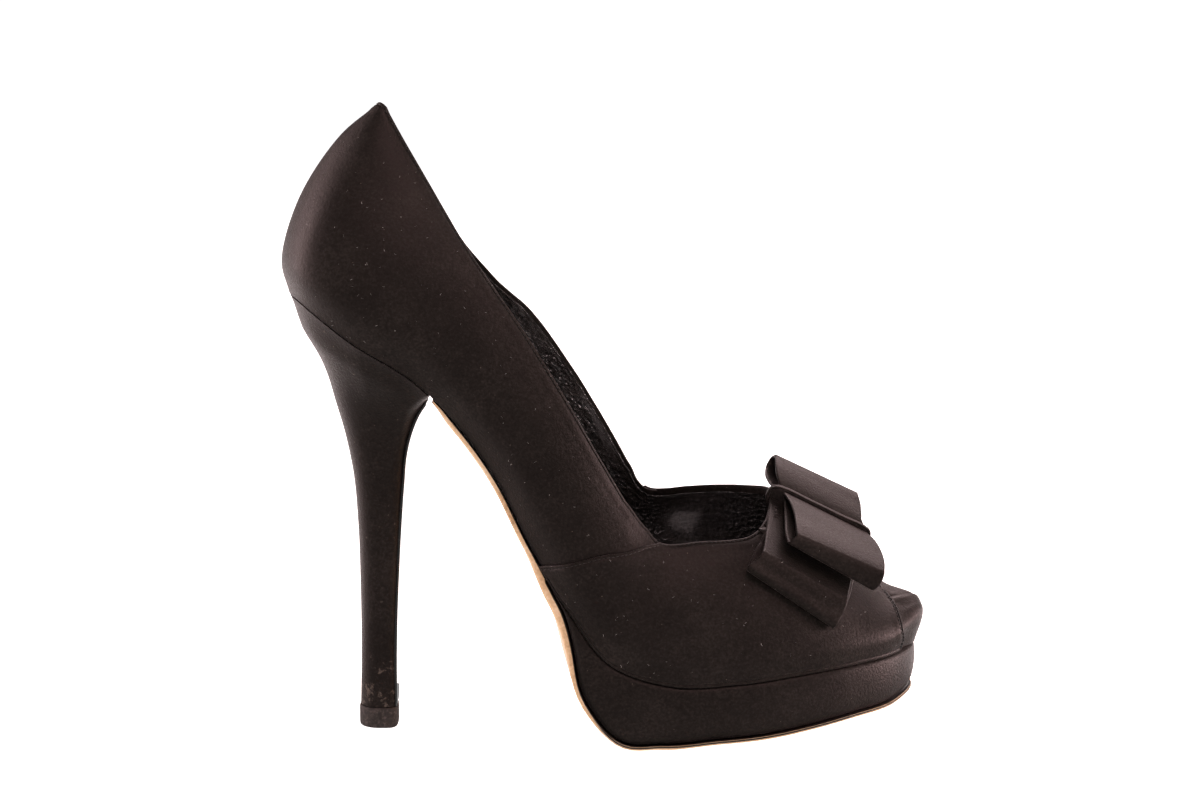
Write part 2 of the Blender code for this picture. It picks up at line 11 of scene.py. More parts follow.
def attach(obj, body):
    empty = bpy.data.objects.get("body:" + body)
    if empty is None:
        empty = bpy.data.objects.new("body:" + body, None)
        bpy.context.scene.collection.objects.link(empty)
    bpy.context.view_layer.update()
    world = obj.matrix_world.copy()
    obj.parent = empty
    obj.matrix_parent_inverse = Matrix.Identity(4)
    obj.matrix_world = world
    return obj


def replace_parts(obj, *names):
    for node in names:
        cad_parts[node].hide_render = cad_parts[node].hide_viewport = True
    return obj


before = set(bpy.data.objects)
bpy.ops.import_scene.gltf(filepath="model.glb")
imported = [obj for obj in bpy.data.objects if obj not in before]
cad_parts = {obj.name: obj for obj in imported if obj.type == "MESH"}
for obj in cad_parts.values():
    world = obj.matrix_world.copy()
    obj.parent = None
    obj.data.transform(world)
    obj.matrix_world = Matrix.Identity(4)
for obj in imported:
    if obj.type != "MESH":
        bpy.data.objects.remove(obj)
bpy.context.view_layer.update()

# The last, as the part's source has it, so that every skin, seam and stitch is placed on the same surface
last = {
    "length": 0.202,
    "halfWidth": 0.039,
    "heel": 0.1406,
    "platform": 0.0234,
    "backHeight": 0.059,
    "instepHeight": 0.050,
    "levels": (0.0, 0.20, 0.45, 0.74, 1.0),
    "coarseSteps": (76, 12),
    "crestShare": 0.6,   # how much of the inner topline's rise the crest below it takes
}
last["lift"] = last["heel"] - last["platform"]

# A row for each section from the back seam to the toe: wall height, swing to the side, then feather, girth,
# shoulder, crest and topline as shares forward, out and up. The feather's up is a share of the heel's lift,
# and the others' of the wall's height.
sections = [
    ("backHeight", 0.000, (0.011, 0.000, 1.000), (0.000, 0.000, 0.176), (0.027, 0.000, 0.490),
     (0.090, 0.000, 0.820), (0.152, 0.000, 0.997)),
    ("backHeight", 0.000, (0.037, 0.372, 0.986), (0.034, 0.449, 0.186), (0.061, 0.405, 0.466),
     (0.119, 0.272, 0.771), (0.165, 0.149, 0.990)),
    ("backHeight", 0.000, (0.115, 0.590, 0.894), (0.124, 0.687, 0.183), (0.156, 0.631, 0.454),
     (0.200, 0.492, 0.675), (0.235, 0.323, 0.834)),
    ("backHeight", -0.021, (0.215, 0.564, 0.784), (0.233, 0.687, 0.164), (0.266, 0.667, 0.368),
     (0.299, 0.577, 0.503), (0.325, 0.487, 0.578)),
    ("backHeight", -0.041, (0.277, 0.526, 0.671), (0.300, 0.682, 0.119), (0.337, 0.703, 0.263),
     (0.366, 0.651, 0.373), (0.390, 0.585, 0.464)),
    ("backHeight", -0.056, (0.336, 0.551, 0.530), (0.361, 0.728, 0.110), (0.396, 0.754, 0.246),
     (0.426, 0.708, 0.347), (0.450, 0.656, 0.415)),
    ("backHeight", -0.041, (0.389, 0.667, 0.355), (0.416, 0.815, 0.119), (0.450, 0.826, 0.263),
     (0.479, 0.769, 0.376), (0.500, 0.697, 0.458)),
    ("backHeight", -0.021, (0.446, 0.808, 0.197), (0.468, 0.918, 0.127), (0.500, 0.908, 0.293),
     (0.525, 0.821, 0.422), (0.543, 0.718, 0.527)),
    ("instepHeight", -0.005, (0.515, 0.923, 0.051), (0.535, 0.985, 0.182), (0.558, 0.954, 0.412),
     (0.576, 0.851, 0.602), (0.587, 0.718, 0.732)),
    ("instepHeight", 0.005, (0.606, 0.964, 0.000), (0.616, 1.000, 0.182), (0.634, 0.949, 0.482),
     (0.646, 0.805, 0.722), (0.653, 0.641, 0.858)),
    ("instepHeight", 0.021, (0.710, 0.954, 0.004), (0.710, 0.990, 0.162), (0.713, 0.908, 0.452),
     (0.717, 0.718, 0.712), (0.718, 0.533, 0.854)),
    ("instepHeight", 0.049, (0.802, 0.897, 0.022), (0.802, 0.928, 0.150), (0.799, 0.808, 0.410),
     (0.777, 0.577, 0.688), (0.747, 0.359, 0.878)),
    ("instepHeight", 0.079, (0.884, 0.751, 0.034), (0.888, 0.774, 0.138), (0.879, 0.628, 0.328),
     (0.829, 0.385, 0.624), (0.758, 0.185, 0.910)),
    ("instepHeight", 0.105, (0.947, 0.521, 0.039), (0.959, 0.521, 0.152), (0.923, 0.372, 0.336),
     (0.859, 0.205, 0.576), (0.762, 0.077, 0.918)),
    ("instepHeight", 0.121, (0.989, 0.000, 0.039), (1.000, 0.000, 0.220), (0.942, 0.000, 0.344),
     (0.868, 0.000, 0.576), (0.762, 0.000, 0.920)),
]

# What the inner side's topline adds to the outer side's, back and up, from the second section on
innerTopline = [
    (0.000, -0.050), (0.000, -0.132), (0.000, -0.126), (0.000, -0.008), (0.000, 0.012), (0.000, 0.010),
    (0.004, 0.015), (0.014, 0.085), (0.008, 0.120), (0.000, 0.140), (-0.002, 0.110), (0.000, 0.060),
    (0.000, 0.020),
]


def knotSlopes(knots, values):
    # The slope at each knot, weighed from the two spans beside it
    spans = np.diff(knots).reshape(-1, *[1] * (values.ndim - 1))
    rates = np.diff(values, axis=0) / spans
    slopes = np.empty_like(values)
    slopes[0], slopes[-1] = rates[0], rates[-1]
    weight = spans[:-1] / (spans[:-1] + spans[1:])
    slopes[1:-1] = rates[:-1] * (1 - weight) + rates[1:] * weight
    return slopes


def spanOf(knots, at):
    # The span that each place falls in, how long it is, and how far along it the place is
    spans = np.diff(knots)
    span = np.clip(np.searchsorted(knots, at, side="right") - 1, 0, len(spans) - 1)
    step = spans[span][:, None]
    return span, step, (at[:, None] - knots[span][:, None]) / step


def betweenKnots(start, end, startSlope, endSlope, step, u):
    return (
        start * (2 * u**3 - 3 * u**2 + 1)
        + end * (3 * u**2 - 2 * u**3)
        + startSlope * step * (u**3 - 2 * u**2 + u)
        + endSlope * step * (u**3 - u**2)
    )


def smoothCurve(knots, values, at):
    # A smooth curve through every value
    knots = np.asarray(knots, float)
    values = np.asarray(values, float).reshape(len(knots), -1)
    slopes = knotSlopes(knots, values)
    span, step, u = spanOf(knots, np.atleast_1d(np.asarray(at, float)))
    return betweenKnots(values[span], values[span + 1], slopes[span], slopes[span + 1], step, u)


def walkedAlong(line):
    # How far along the line each of its points is
    return np.concatenate([[0.0], np.cumsum(np.linalg.norm(np.diff(line, axis=0), axis=1))])


def smoothStep(low, high, value):
    share = np.clip((value - low) / (high - low), 0, 1)
    return share**2 * (3 - 2 * share)


def fadeOut(low, high, value):
    return 1 - smoothStep(low, high, value)


def sectionPoints(index, side):
    wallName, swing, *levels = sections[index]
    wall = last[wallName]
    base = last["platform"] + levels[0][2] * last["lift"]
    rows = []
    for number, (along, out, up) in enumerate(levels):
        height = base + (up * wall if number else 0)
        rows.append([along * last["length"], (swing + side * out) * last["halfWidth"], height])
    if side > 0 and 0 < index <= len(innerTopline):
        back, up = innerTopline[index - 1]
        rows[4][0] -= back * last["length"]
        rows[4][2] += up * wall
        rows[3][2] += last["crestShare"] * up * wall
    return rows


outerSide = [sectionPoints(index, -1) for index in range(len(sections))]
innerSide = [sectionPoints(index, 1) for index in range(1, len(sections) - 1)]
walkRows = np.array(outerSide + innerSide[::-1])
walkKnots = walkedAlong(np.vstack([walkRows[:, 1], walkRows[:1, 1]]))
wayRound = walkKnots[-1]
toeAt = walkKnots[len(sections) - 1]


def around(values, at):
    # A closed curve round the shoe through one value for each section
    values = np.asarray(values, float).reshape(len(walkRows), -1)
    knots = np.concatenate([walkKnots[-4:-1] - wayRound, walkKnots, walkKnots[1:4] + wayRound])
    closed = np.vstack([values[-3:], values, values[:4]])
    return smoothCurve(knots, closed, np.asarray(at, float).ravel() % wayRound)


def rawLast(walk, level):
    # The last's own surface: round the shoe at each of its levels, then up the wall between them
    walk, level = np.broadcast_arrays(walk, level)
    knots = np.array(last["levels"])
    lines = around(walkRows, walk).reshape(-1, len(knots), 3).transpose(1, 0, 2)
    slopes = knotSlopes(knots, lines)
    span, step, u = spanOf(knots, np.clip(level.ravel(), 0, 1))
    row = np.arange(len(span))
    low, high = (span, row), (span + 1, row)
    return betweenKnots(lines[low], lines[high], slopes[low], slopes[high], step, u).reshape(*walk.shape, 3)


def middleOfLast():
    # The part is centred by its coarse upper, so the same coarse grid gives the shift into the frame
    steps, levels = last["coarseSteps"]
    walk = np.arange(steps)[:, None] / steps * wayRound
    grid = rawLast(walk, np.linspace(0, 1, levels)[None, :]).reshape(-1, 3)
    middle = (grid.min(axis=0) + grid.max(axis=0)) / 2
    return np.array([middle[0], middle[1], 0.0])


lastMiddle = middleOfLast()


def lastNormal(walk, level):
    walk, level = np.broadcast_arrays(np.asarray(walk, float), np.asarray(level, float))
    step, rise = 0.0004, 0.004
    low, high = np.clip(level - rise, 0, 1), np.clip(level + rise, 0, 1)
    forward = rawLast(walk + step, level) - rawLast(walk - step, level)
    upward = rawLast(walk, high) - rawLast(walk, low)
    normal = np.cross(forward, upward)
    return normal / np.maximum(np.linalg.norm(normal, axis=-1, keepdims=True), 1e-12)


outward = 1.0 if lastNormal(0.05, 0.3)[1] < 0 else -1.0


# Where the topline was trimmed: how many millimetres its edge stands above the last's line, at each step
# from the back seam forward, on either side. Its last few millimetres lean in, to hug the foot, but not
# beside the back seam or the throat.
trimmed = {
    "step": 0.008,
    "liftFrom": 0.45,
    "lean": 0.0016,
    "leanFrom": 0.011,
    "leanStart": (0.004, 0.020),
    "leanEnd": (0.160, 0.190),
    "outer": [0.4, 1.0, 1.5, 1.1, 0.5, 0, -0.4, -0.7, -0.6, -0.2, 0.1, 0.2, 0.2, 0.2, 0.2, 0.3, 0.5, 0.7,
              0.8, 0.8, 1.5, 2.6, 0.9, 0.2, 0, -0.1, -0.1, -0.4, -0.8, -0.5, -0.15, 0, 0.3, 0.5, 0.5, 0.4],
    "inner": [0.4, 0.9, 1.3, 0.8, 0.6, 0.4, 0.4, 0.6, 2.0, 2.6, 1.9, 1.1, 1.0, 1.1, 1.3, 1.5, 1.9, 2.1, 2.4,
              2.5, 3.0, 3.4, 2.1, 1.2, 0.9, 1.0, 0.9, 0.3, -0.4, -0.9, -1.1, -0.9, -0.5, -0.2, 0.1, 0.3],
}


def trimAt(walk):
    walk = np.asarray(walk) % wayRound
    inner = walk > toeAt
    fromBack = np.where(inner, wayRound - walk, walk)
    at = np.arange(len(trimmed["outer"])) * trimmed["step"]
    outerRise, innerRise = (np.interp(fromBack, at, trimmed[side]) for side in ("outer", "inner"))
    return np.where(inner, innerRise, outerRise) / 1000


def lastSkin(walk, level):
    # The last's surface in the frame, with its trimmed topline
    walk, level = np.broadcast_arrays(np.asarray(walk, float), np.asarray(level, float))
    topShare = 0.04
    upward = rawLast(walk, 1.0) - rawLast(walk, 1 - topShare)
    tall = np.linalg.norm(upward, axis=-1) / topShare
    upward /= np.linalg.norm(upward, axis=-1, keepdims=True)
    lift = trimAt(walk) * smoothStep(trimmed["liftFrom"], 1.0, level)
    points = rawLast(walk, level) - lastMiddle + upward * lift[..., None]
    fromBack = np.minimum(walk % wayRound, wayRound - walk % wayRound)
    near = np.clip(1 - (1 - level) * tall / trimmed["leanFrom"], 0, 1)
    reach = smoothStep(*trimmed["leanStart"], fromBack) * fadeOut(*trimmed["leanEnd"], fromBack)
    return points - lastNormal(walk, level) * (outward * trimmed["lean"] * near**2 * reach)[..., None]


def onLast(walk, level, out=0.0):
    # Points this far outside the last's surface
    return lastSkin(walk, level) + lastNormal(walk, level) * (outward * np.asarray(out, float))[..., None]


def mirrored(walk):
    return 2 * toeAt - walk


print("last ready: walk round the girth", round(wayRound * 1000, 1), "mm")


# Meshes

def placed(name, data):
    made = bpy.data.objects.new(name, data)
    bpy.context.scene.collection.objects.link(made)
    return made


def shapeOf(name, points, faces, weave, material, sharp=45, merge=4e-6, marks=None):
    mesh = bpy.data.meshes.new(name)
    mesh.from_pydata(np.asarray(points).reshape(-1, 3).tolist(), [], [list(face) for face in faces])
    weave = np.asarray(weave, float).reshape(-1, 2)
    layer = mesh.uv_layers.new(name="weave")
    corners = np.empty(len(mesh.loops), dtype=np.int32)
    mesh.loops.foreach_get("vertex_index", corners)
    layer.data.foreach_set("uv", weave[corners].astype(np.float32).ravel())
    for mark, values in (marks or {}).items():
        made = mesh.attributes.new(mark, "FLOAT", "POINT")
        made.data.foreach_set("value", np.asarray(values, np.float32))
    build = bmesh.new()
    build.from_mesh(mesh)
    bmesh.ops.remove_doubles(build, verts=build.verts, dist=merge)
    bmesh.ops.dissolve_degenerate(build, edges=build.edges, dist=merge)
    bmesh.ops.recalc_face_normals(build, faces=build.faces)
    build.to_mesh(mesh)
    build.free()
    mesh.shade_smooth()
    mesh.set_sharp_from_angle(angle=radians(sharp))
    mesh.materials.append(material)
    piece = placed(name, mesh)
    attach(piece, "root")
    return piece


def gridFaces(rows, columns, start=0, wrap=False, turned=False):
    faces = []
    for i in range(rows if wrap else rows - 1):
        for j in range(columns - 1):
            a, b = start + i * columns + j, start + (i + 1) % rows * columns + j
            faces.append((a, b, b + 1, a + 1) if turned else (a, a + 1, b + 1, b))
    return faces


crowding = {
    # How a sheet's lines crowd at its edges: over its round rim, as shares of the rim's radius, and in
    # millimetres where it is stitched
    "rim": (0, 0.06, 0.22, 0.48, 0.80, 1.3),
    "stitched": (0.72, 0.88, 1.02, 1.16, 1.32, 1.6, 2.1, 2.8),
}


def spacedLines(count, length, rim, fine=False):
    # Shares from 0 to 1, evenly spaced inside and crowded at both ends
    near = np.array(crowding["rim"]) * rim
    if fine:
        near = np.concatenate([near, np.array(crowding["stitched"]) / 1000])
    near = near / length
    inner = np.linspace(near[-1], 1 - near[-1], count)
    return np.concatenate([near[:-1], inner, 1 - near[-2::-1]])


def gridNormals(grid, wrap=False):
    if wrap:
        run = np.roll(grid, -1, axis=0) - np.roll(grid, 1, axis=0)
    else:
        run = np.gradient(grid, axis=0)
    rise = np.gradient(grid, axis=1)
    normal = np.cross(run, rise)
    return normal / np.maximum(np.linalg.norm(normal, axis=2, keepdims=True), 1e-12)


def weaveOf(grid):
    # Cloth coordinates in metres, measured along the middle lines of the sheet
    rows, columns = grid.shape[:2]
    u, v = walkedAlong(grid[:, columns // 2]), walkedAlong(grid[rows // 2])
    return np.stack(np.broadcast_arrays(u[:, None], v[None, :]), axis=2)


folds = {
    # How an edge is folded and sewn: how far the fold reaches in and how much it lifts, the groove along
    # its stitches, and the lip rolled over the lining, thicker as far as it fades, slanted thin at its edge
    "width": 0.0045,
    "rise": 0.00020,
    "stitch": 0.00105,
    "groove": 0.00024,
    "roll": 0.0008,
    "rollFade": (0.0020, 0.0030),
    "slant": 0.0022,
    "slantCurve": 1.3,
    "slantDepth": 0.72,
    "slantRound": 0.4,
}
skins = {}


def foldedSheet(name, grid, top, thickness, rims, material, slot, facing=1.0, wrap=False, normals=None,
                sewn=(), rolled=()):
    # A sheet of cloth or leather with a round edge, its outer skin this far above the grid. rims are the
    # radii at the first and last row and column. sewn has the numbers of those that are folded in and
    # stitched, and rolled those that are turned over the lining.
    rows, columns = grid.shape[:2]
    if normals is None:
        normals = gridNormals(grid, wrap) * facing
    borders = [None if wrap else grid[0], None if wrap else grid[-1], grid[:, 0], grid[:, -1]]
    flat = grid.reshape(-1, 3)
    dip, hem, roll, slant = np.zeros((4, len(flat)))
    for number, (border, radius) in enumerate(zip(borders, rims)):
        if border is None or not radius:
            continue
        tree = KDTree(len(border) * 4)
        for index, point in enumerate(smoothLine(border, len(border) * 4)):
            tree.insert(point, index)
        tree.balance()
        gap = np.array([tree.find(point)[2] for point in flat])
        if number in rolled:
            roll = np.maximum(roll, folds["roll"] * fadeOut(*folds["rollFade"], gap))
            slant = np.maximum(slant, np.clip(1 - gap / folds["slant"], 0, 1) ** folds["slantCurve"])
        if number in sewn:
            fold = folds["rise"] * fadeOut(folds["width"] * 0.6, folds["width"], gap)
            groove = folds["groove"] * np.exp(-(((gap - folds["stitch"]) / folds["groove"]) ** 2))
            hem = np.where(np.abs(fold - groove) > np.abs(hem), fold - groove, hem)
        gap = np.minimum(gap, radius)
        dip = np.maximum(dip, radius - np.sqrt(radius**2 - (radius - gap) ** 2))
    dip, hem, roll, slant = (values.reshape(rows, columns) for values in (dip, hem, roll, slant))
    skins[name] = grid + normals * (top + hem - dip)[..., None]
    deep = (thickness + roll) * (1 - folds["slantDepth"] * slant)
    rounded = np.where(slant > 0, folds["slantRound"], 1.0) * dip
    lower = grid + normals * (top - deep + rounded)[..., None]
    faces = gridFaces(rows, columns, 0, wrap) + gridFaces(rows, columns, rows * columns, wrap, turned=True)
    faces += edgeFaces(rows, columns, wrap)
    points = np.concatenate([skins[name].reshape(-1, 3), lower.reshape(-1, 3)])
    return shapeOf(name, points, faces, np.concatenate([weaveOf(grid).reshape(-1, 2)] * 2), material)


def lastSheet(name, walk, level, top, thickness, rims, material, slot, **edges):
    normals = lastNormal(walk, level) * outward
    grid = lastSkin(walk, level)
    return foldedSheet(name, grid, top, thickness, rims, material, slot, normals=normals, **edges)


def skinsOf(names, turned=()):
    # Several skins as one mesh, the faces of some turned over
    points, faces = [], []
    for name in names:
        rows, columns = skins[name].shape[:2]
        faces += gridFaces(rows, columns, len(points), turned=name in turned)
        points += skins[name].reshape(-1, 3).tolist()
    return points, faces


def smoothLine(line, count):
    share = np.linspace(0, len(line) - 1, count)
    low = np.minimum(share.astype(int), len(line) - 2)
    return line[low] + (line[low + 1] - line[low]) * (share - low)[:, None]


def edgeFaces(rows, columns, wrap):
    # The narrow wall between a sheet's two skins
    second = rows * columns
    rings = [[i * columns for i in range(rows)], [i * columns + columns - 1 for i in range(rows)]]
    if wrap:
        rings = [ring + ring[:1] for ring in rings]
    else:
        rings.append(list(range(columns)))
        rings.append([(rows - 1) * columns + j for j in range(columns)])
    return [(a, b, second + b, second + a) for ring in rings for a, b in zip(ring, ring[1:])]


def solidBetween(name, layers, material, sharp=35, dyeAndHighlight=None):
    # A solid between its lowest and highest grid, the grids between them giving the shape of its edge. Dye
    # shares, if given, are each grid's share of edge dye, row by row, and a paler band among them is a
    # painted highlight.
    rows, columns = layers[0].shape[:2]
    points, faces, weave, dye = [], [], [], []
    for skin in (layers[0], layers[-1]):
        start = len(points)
        points += list(skin.reshape(-1, 3))
        weave += list(skin.reshape(-1, 3)[:, :2])
        dye += [0.0 if skin is layers[0] else 1.0] * (rows * columns)
        faces += gridFaces(rows, columns, start)
    border = (
        [(i, 0) for i in range(rows)] + [(rows - 1, j) for j in range(1, columns)]
        + [(i, columns - 1) for i in range(rows - 2, -1, -1)] + [(0, j) for j in range(columns - 2, 0, -1)]
    )
    rims = []
    for number, skin in enumerate(layers):
        rims.append(len(points))
        line = np.array([skin[i, j] for i, j in border])
        dye += [dyeAndHighlight[number][i] if dyeAndHighlight else 0.0 for i, _ in border]
        walked = walkedAlong(line)
        points += list(line)
        weave += [(walked[k], line[k][2]) for k in range(len(line))]
    for low, high in zip(rims, rims[1:]):
        for k in range(len(border)):
            following = (k + 1) % len(border)
            faces.append((low + k, low + following, high + following, high + k))
    return shapeOf(name, points, faces, weave, material, sharp, marks={"dye": dye} if dyeAndHighlight else None)


def ringSolid(name, rings, material, sharp=35):
    # A solid through closed rings of equally many points, its ends closed with fans
    count = len(rings[0])
    rings = np.asarray(rings)
    points = list(rings.reshape(-1, 3))
    turn = np.linspace(0, 1, count, endpoint=False)
    walked = walkedAlong(rings[:, 0])
    girth = np.linalg.norm(np.diff(rings[len(rings) // 2], axis=0), axis=1).sum()
    weave = [(turn[j] * girth, walked[i]) for i in range(len(rings)) for j in range(count)]
    faces = []
    for i in range(len(rings) - 1):
        for j in range(count):
            k = (j + 1) % count
            faces.append((i * count + j, i * count + k, (i + 1) * count + k, (i + 1) * count + j))
    for i in (0, len(rings) - 1):
        middle = len(points)
        points.append(rings[i].mean(axis=0))
        weave.append((0, walked[i]))
        faces += [(i * count + j, i * count + (j + 1) % count, middle) for j in range(count)]
    return shapeOf(name, points, faces, weave, material, sharp)


# Materials

def linear(code):
    channels = [int(code[k:k + 2], 16) / 255 for k in (1, 3, 5)]
    return (*[c / 12.92 if c <= 0.04045 else ((c + 0.055) / 1.055) ** 2.4 for c in channels], 1.0)


def joined(tree, node, links):
    # A node given as a link stands for its first output
    for socket, source in dict(links).items():
        start = source.outputs[0] if isinstance(source, bpy.types.Node) else source
        tree.links.new(start, node.inputs[socket])


def addNode(tree, kind, values=(), links=(), stops=(), **settings):
    made = tree.nodes.new(kind)
    for name, value in settings.items():
        setattr(made, name, value)
    for number, (position, code) in enumerate(stops):
        band = made.color_ramp.elements[number] if number < 2 else made.color_ramp.elements.new(position)
        band.position, band.color = position, linear(code)
    for socket, value in dict(values).items():
        made.inputs[socket].default_value = value
    joined(tree, made, links)
    return made


def newMaterial(name, **values):
    material = bpy.data.materials.new(name)
    material.use_nodes = True
    shader = material.node_tree.nodes["Principled BSDF"]
    for socket, value in values.items():
        shader.inputs[socket.replace("_", " ")].default_value = value
    return material, material.node_tree, shader


satinLook = {
    # Colours from the valleys between the floats to their crests, painted shade in the valleys and painted
    # highlight on the crests, and that of pale flecks and worn places
    "deep": "#0c0a08",
    "mid": "#161411",
    "light": "#26221f",
    "fleck": "#63574f",
    # The floats are about 0.1 mm wide, and are drawn eight times as wide, so that they show
    "grain": 0.00080,
    "grainDepth": 0.00030,
    "matt": {1: 0.32, 2: 0.68, 3: 0.34, 4: 0.60},
    "cloud": 0.020,
    "fleckSpacing": 0.0052,
    "scrape": 0.0024,
}


def duchesseSatin(name, rubbed=None):
    # Duchesse satin, woven in long floats of filament: a soft broad shine, and a fine grain where the light
    # grazes it. rubbed gives the heights between which its worn, pale places fade out.
    look = satinLook
    material, tree, shader = newMaterial(
        name, Metallic=0.0, IOR=1.45, Specular_IOR_Level=0.24, Sheen_Weight=0.07,
        Sheen_Roughness=0.40, Sheen_Tint=linear("#e8c6c6"), Specular_Tint=linear("#ffe0dd"))
    place = addNode(tree, "ShaderNodeTexCoord").outputs["Object"]
    soft = {"Scale": 1 / look["cloud"], "Detail": 3.0}
    cloud = addNode(tree, "ShaderNodeTexNoise", soft, {"Vector": place})
    coarse = {"Scale": 1 / look["grain"], "Detail": 3.0, "Roughness": 0.7}
    grain = addNode(tree, "ShaderNodeTexNoise", coarse, {"Vector": place})
    mixed = addNode(tree, "ShaderNodeMath", {1: 0.7}, {0: grain}, operation="MULTIPLY")
    both = addNode(tree, "ShaderNodeMath", {1: 0.3}, {0: cloud, 2: mixed}, operation="MULTIPLY_ADD")
    # The grain that raises the floats also picks the colour, darker in their valleys and lighter on their
    # crests: painted shade and highlight, with the cloud's random tone mixed in
    cloth = addNode(tree, "ShaderNodeValToRGB", links={0: both},
                    stops=[(0.34, look["deep"]), (0.66, look["light"]), (0.50, look["mid"])])
    fleck = addNode(tree, "ShaderNodeTexVoronoi", {"Scale": 1 / look["fleckSpacing"], "Randomness": 1.0},
                    {"Vector": place}, feature="F1")
    pale = addNode(tree, "ShaderNodeMapRange", {1: 0.020, 2: 0.040, 3: 0.6, 4: 0.0}, {0: fleck})
    if rubbed:
        height = addNode(tree, "ShaderNodeSeparateXYZ", links={0: place}).outputs["Z"]
        low = addNode(tree, "ShaderNodeMapRange", {1: rubbed[0], 2: rubbed[1], 3: 0.16, 4: 0.0},
                      {0: height})
        rough = {"Scale": 1 / look["scrape"], "Detail": 3.0, "Roughness": 0.7}
        scrape = addNode(tree, "ShaderNodeTexNoise", rough, {"Vector": place})
        reach = addNode(tree, "ShaderNodeMath", links={0: scrape, 1: low}, operation="ADD")
        worn = addNode(tree, "ShaderNodeMapRange", {1: 0.66, 2: 0.78, 3: 0.0, 4: 0.55}, {0: reach})
        pale = addNode(tree, "ShaderNodeMath", links={0: pale, 1: worn}, operation="MAXIMUM")
    matt = addNode(tree, "ShaderNodeMapRange", look["matt"], {0: grain})
    colour = addNode(tree, "ShaderNodeMix", {7: linear(look["fleck"])},
                     {0: pale, 6: cloth}, data_type="RGBA")
    bump = addNode(tree, "ShaderNodeBump", {"Strength": 0.6, "Distance": look["grainDepth"]},
                   {"Height": grain})
    joined(tree, shader, {"Roughness": matt, "Base Color": colour.outputs[2], "Normal": bump})
    return material


liningLook = {
    "tone": 0.009,
    # The creases wander over this size, by this much
    "drawn": 0.004,
    "wander": 0.0020,
    # The real net of creases is about half as wide, which would not show
    "crease": 0.0016,
    "fine": 0.0009,
    # Places where the skin is creased alternate with smoother ones at about this size
    "worn": 0.022,
    "least": 0.36,
    "depth": 0.0020,
}


def glazedLining(name):
    # Glazed kid lining: black and shiny, with a net of fine creases where the foot bends it
    look = liningLook
    material, tree, shader = newMaterial(
        name, Roughness=0.22, IOR=1.50, Specular_IOR_Level=1.0, Coat_Weight=1.0, Coat_Roughness=0.12)
    place = addNode(tree, "ShaderNodeTexCoord").outputs["Object"]
    tone = addNode(tree, "ShaderNodeTexNoise", {"Scale": 1 / look["tone"], "Detail": 4.0},
                   {"Vector": place})
    colour = addNode(tree, "ShaderNodeValToRGB", links={0: tone},
                     stops=[(0.30, "#221e1c"), (0.70, "#3a3431")])
    drawn = addNode(tree, "ShaderNodeTexNoise", {"Scale": 1 / look["drawn"], "Detail": 2.0},
                    {"Vector": place})
    bent = addNode(tree, "ShaderNodeMix", {0: look["wander"]}, {4: place, 5: drawn.outputs["Color"]},
                   data_type="VECTOR")
    along = addNode(tree, "ShaderNodeMapping", {"Scale": (1.0, 1.0, 1.2), "Rotation": (0, 0.5, 0)},
                    {"Vector": bent.outputs[1]})
    crease = addNode(tree, "ShaderNodeTexVoronoi", {"Scale": 1 / look["crease"], "Randomness": 1.0},
                     {"Vector": along}, feature="F1")
    fine = addNode(tree, "ShaderNodeTexNoise", {"Scale": 1 / look["fine"], "Detail": 3.0},
                   {"Vector": along})
    both = addNode(tree, "ShaderNodeMath", {1: 0.5}, {0: fine, 2: crease}, operation="MULTIPLY_ADD")
    worn = addNode(tree, "ShaderNodeTexNoise", {"Scale": 1 / look["worn"], "Detail": 1.0},
                   {"Vector": place})
    patch = addNode(tree, "ShaderNodeMapRange", {1: 0.40, 2: 0.58, 3: look["least"], 4: 1.0}, {0: worn})
    height = addNode(tree, "ShaderNodeMath", links={0: both, 1: patch}, operation="MULTIPLY")
    bump = addNode(tree, "ShaderNodeBump", {"Strength": 1.0, "Distance": look["depth"]},
                   {"Height": height})
    joined(tree, shader, {"Base Color": colour, "Normal": bump})
    return material


leatherLook = {"cloud": 0.012, "grain": 0.0009, "depth": 0.00006, "dye": "#1a1310"}


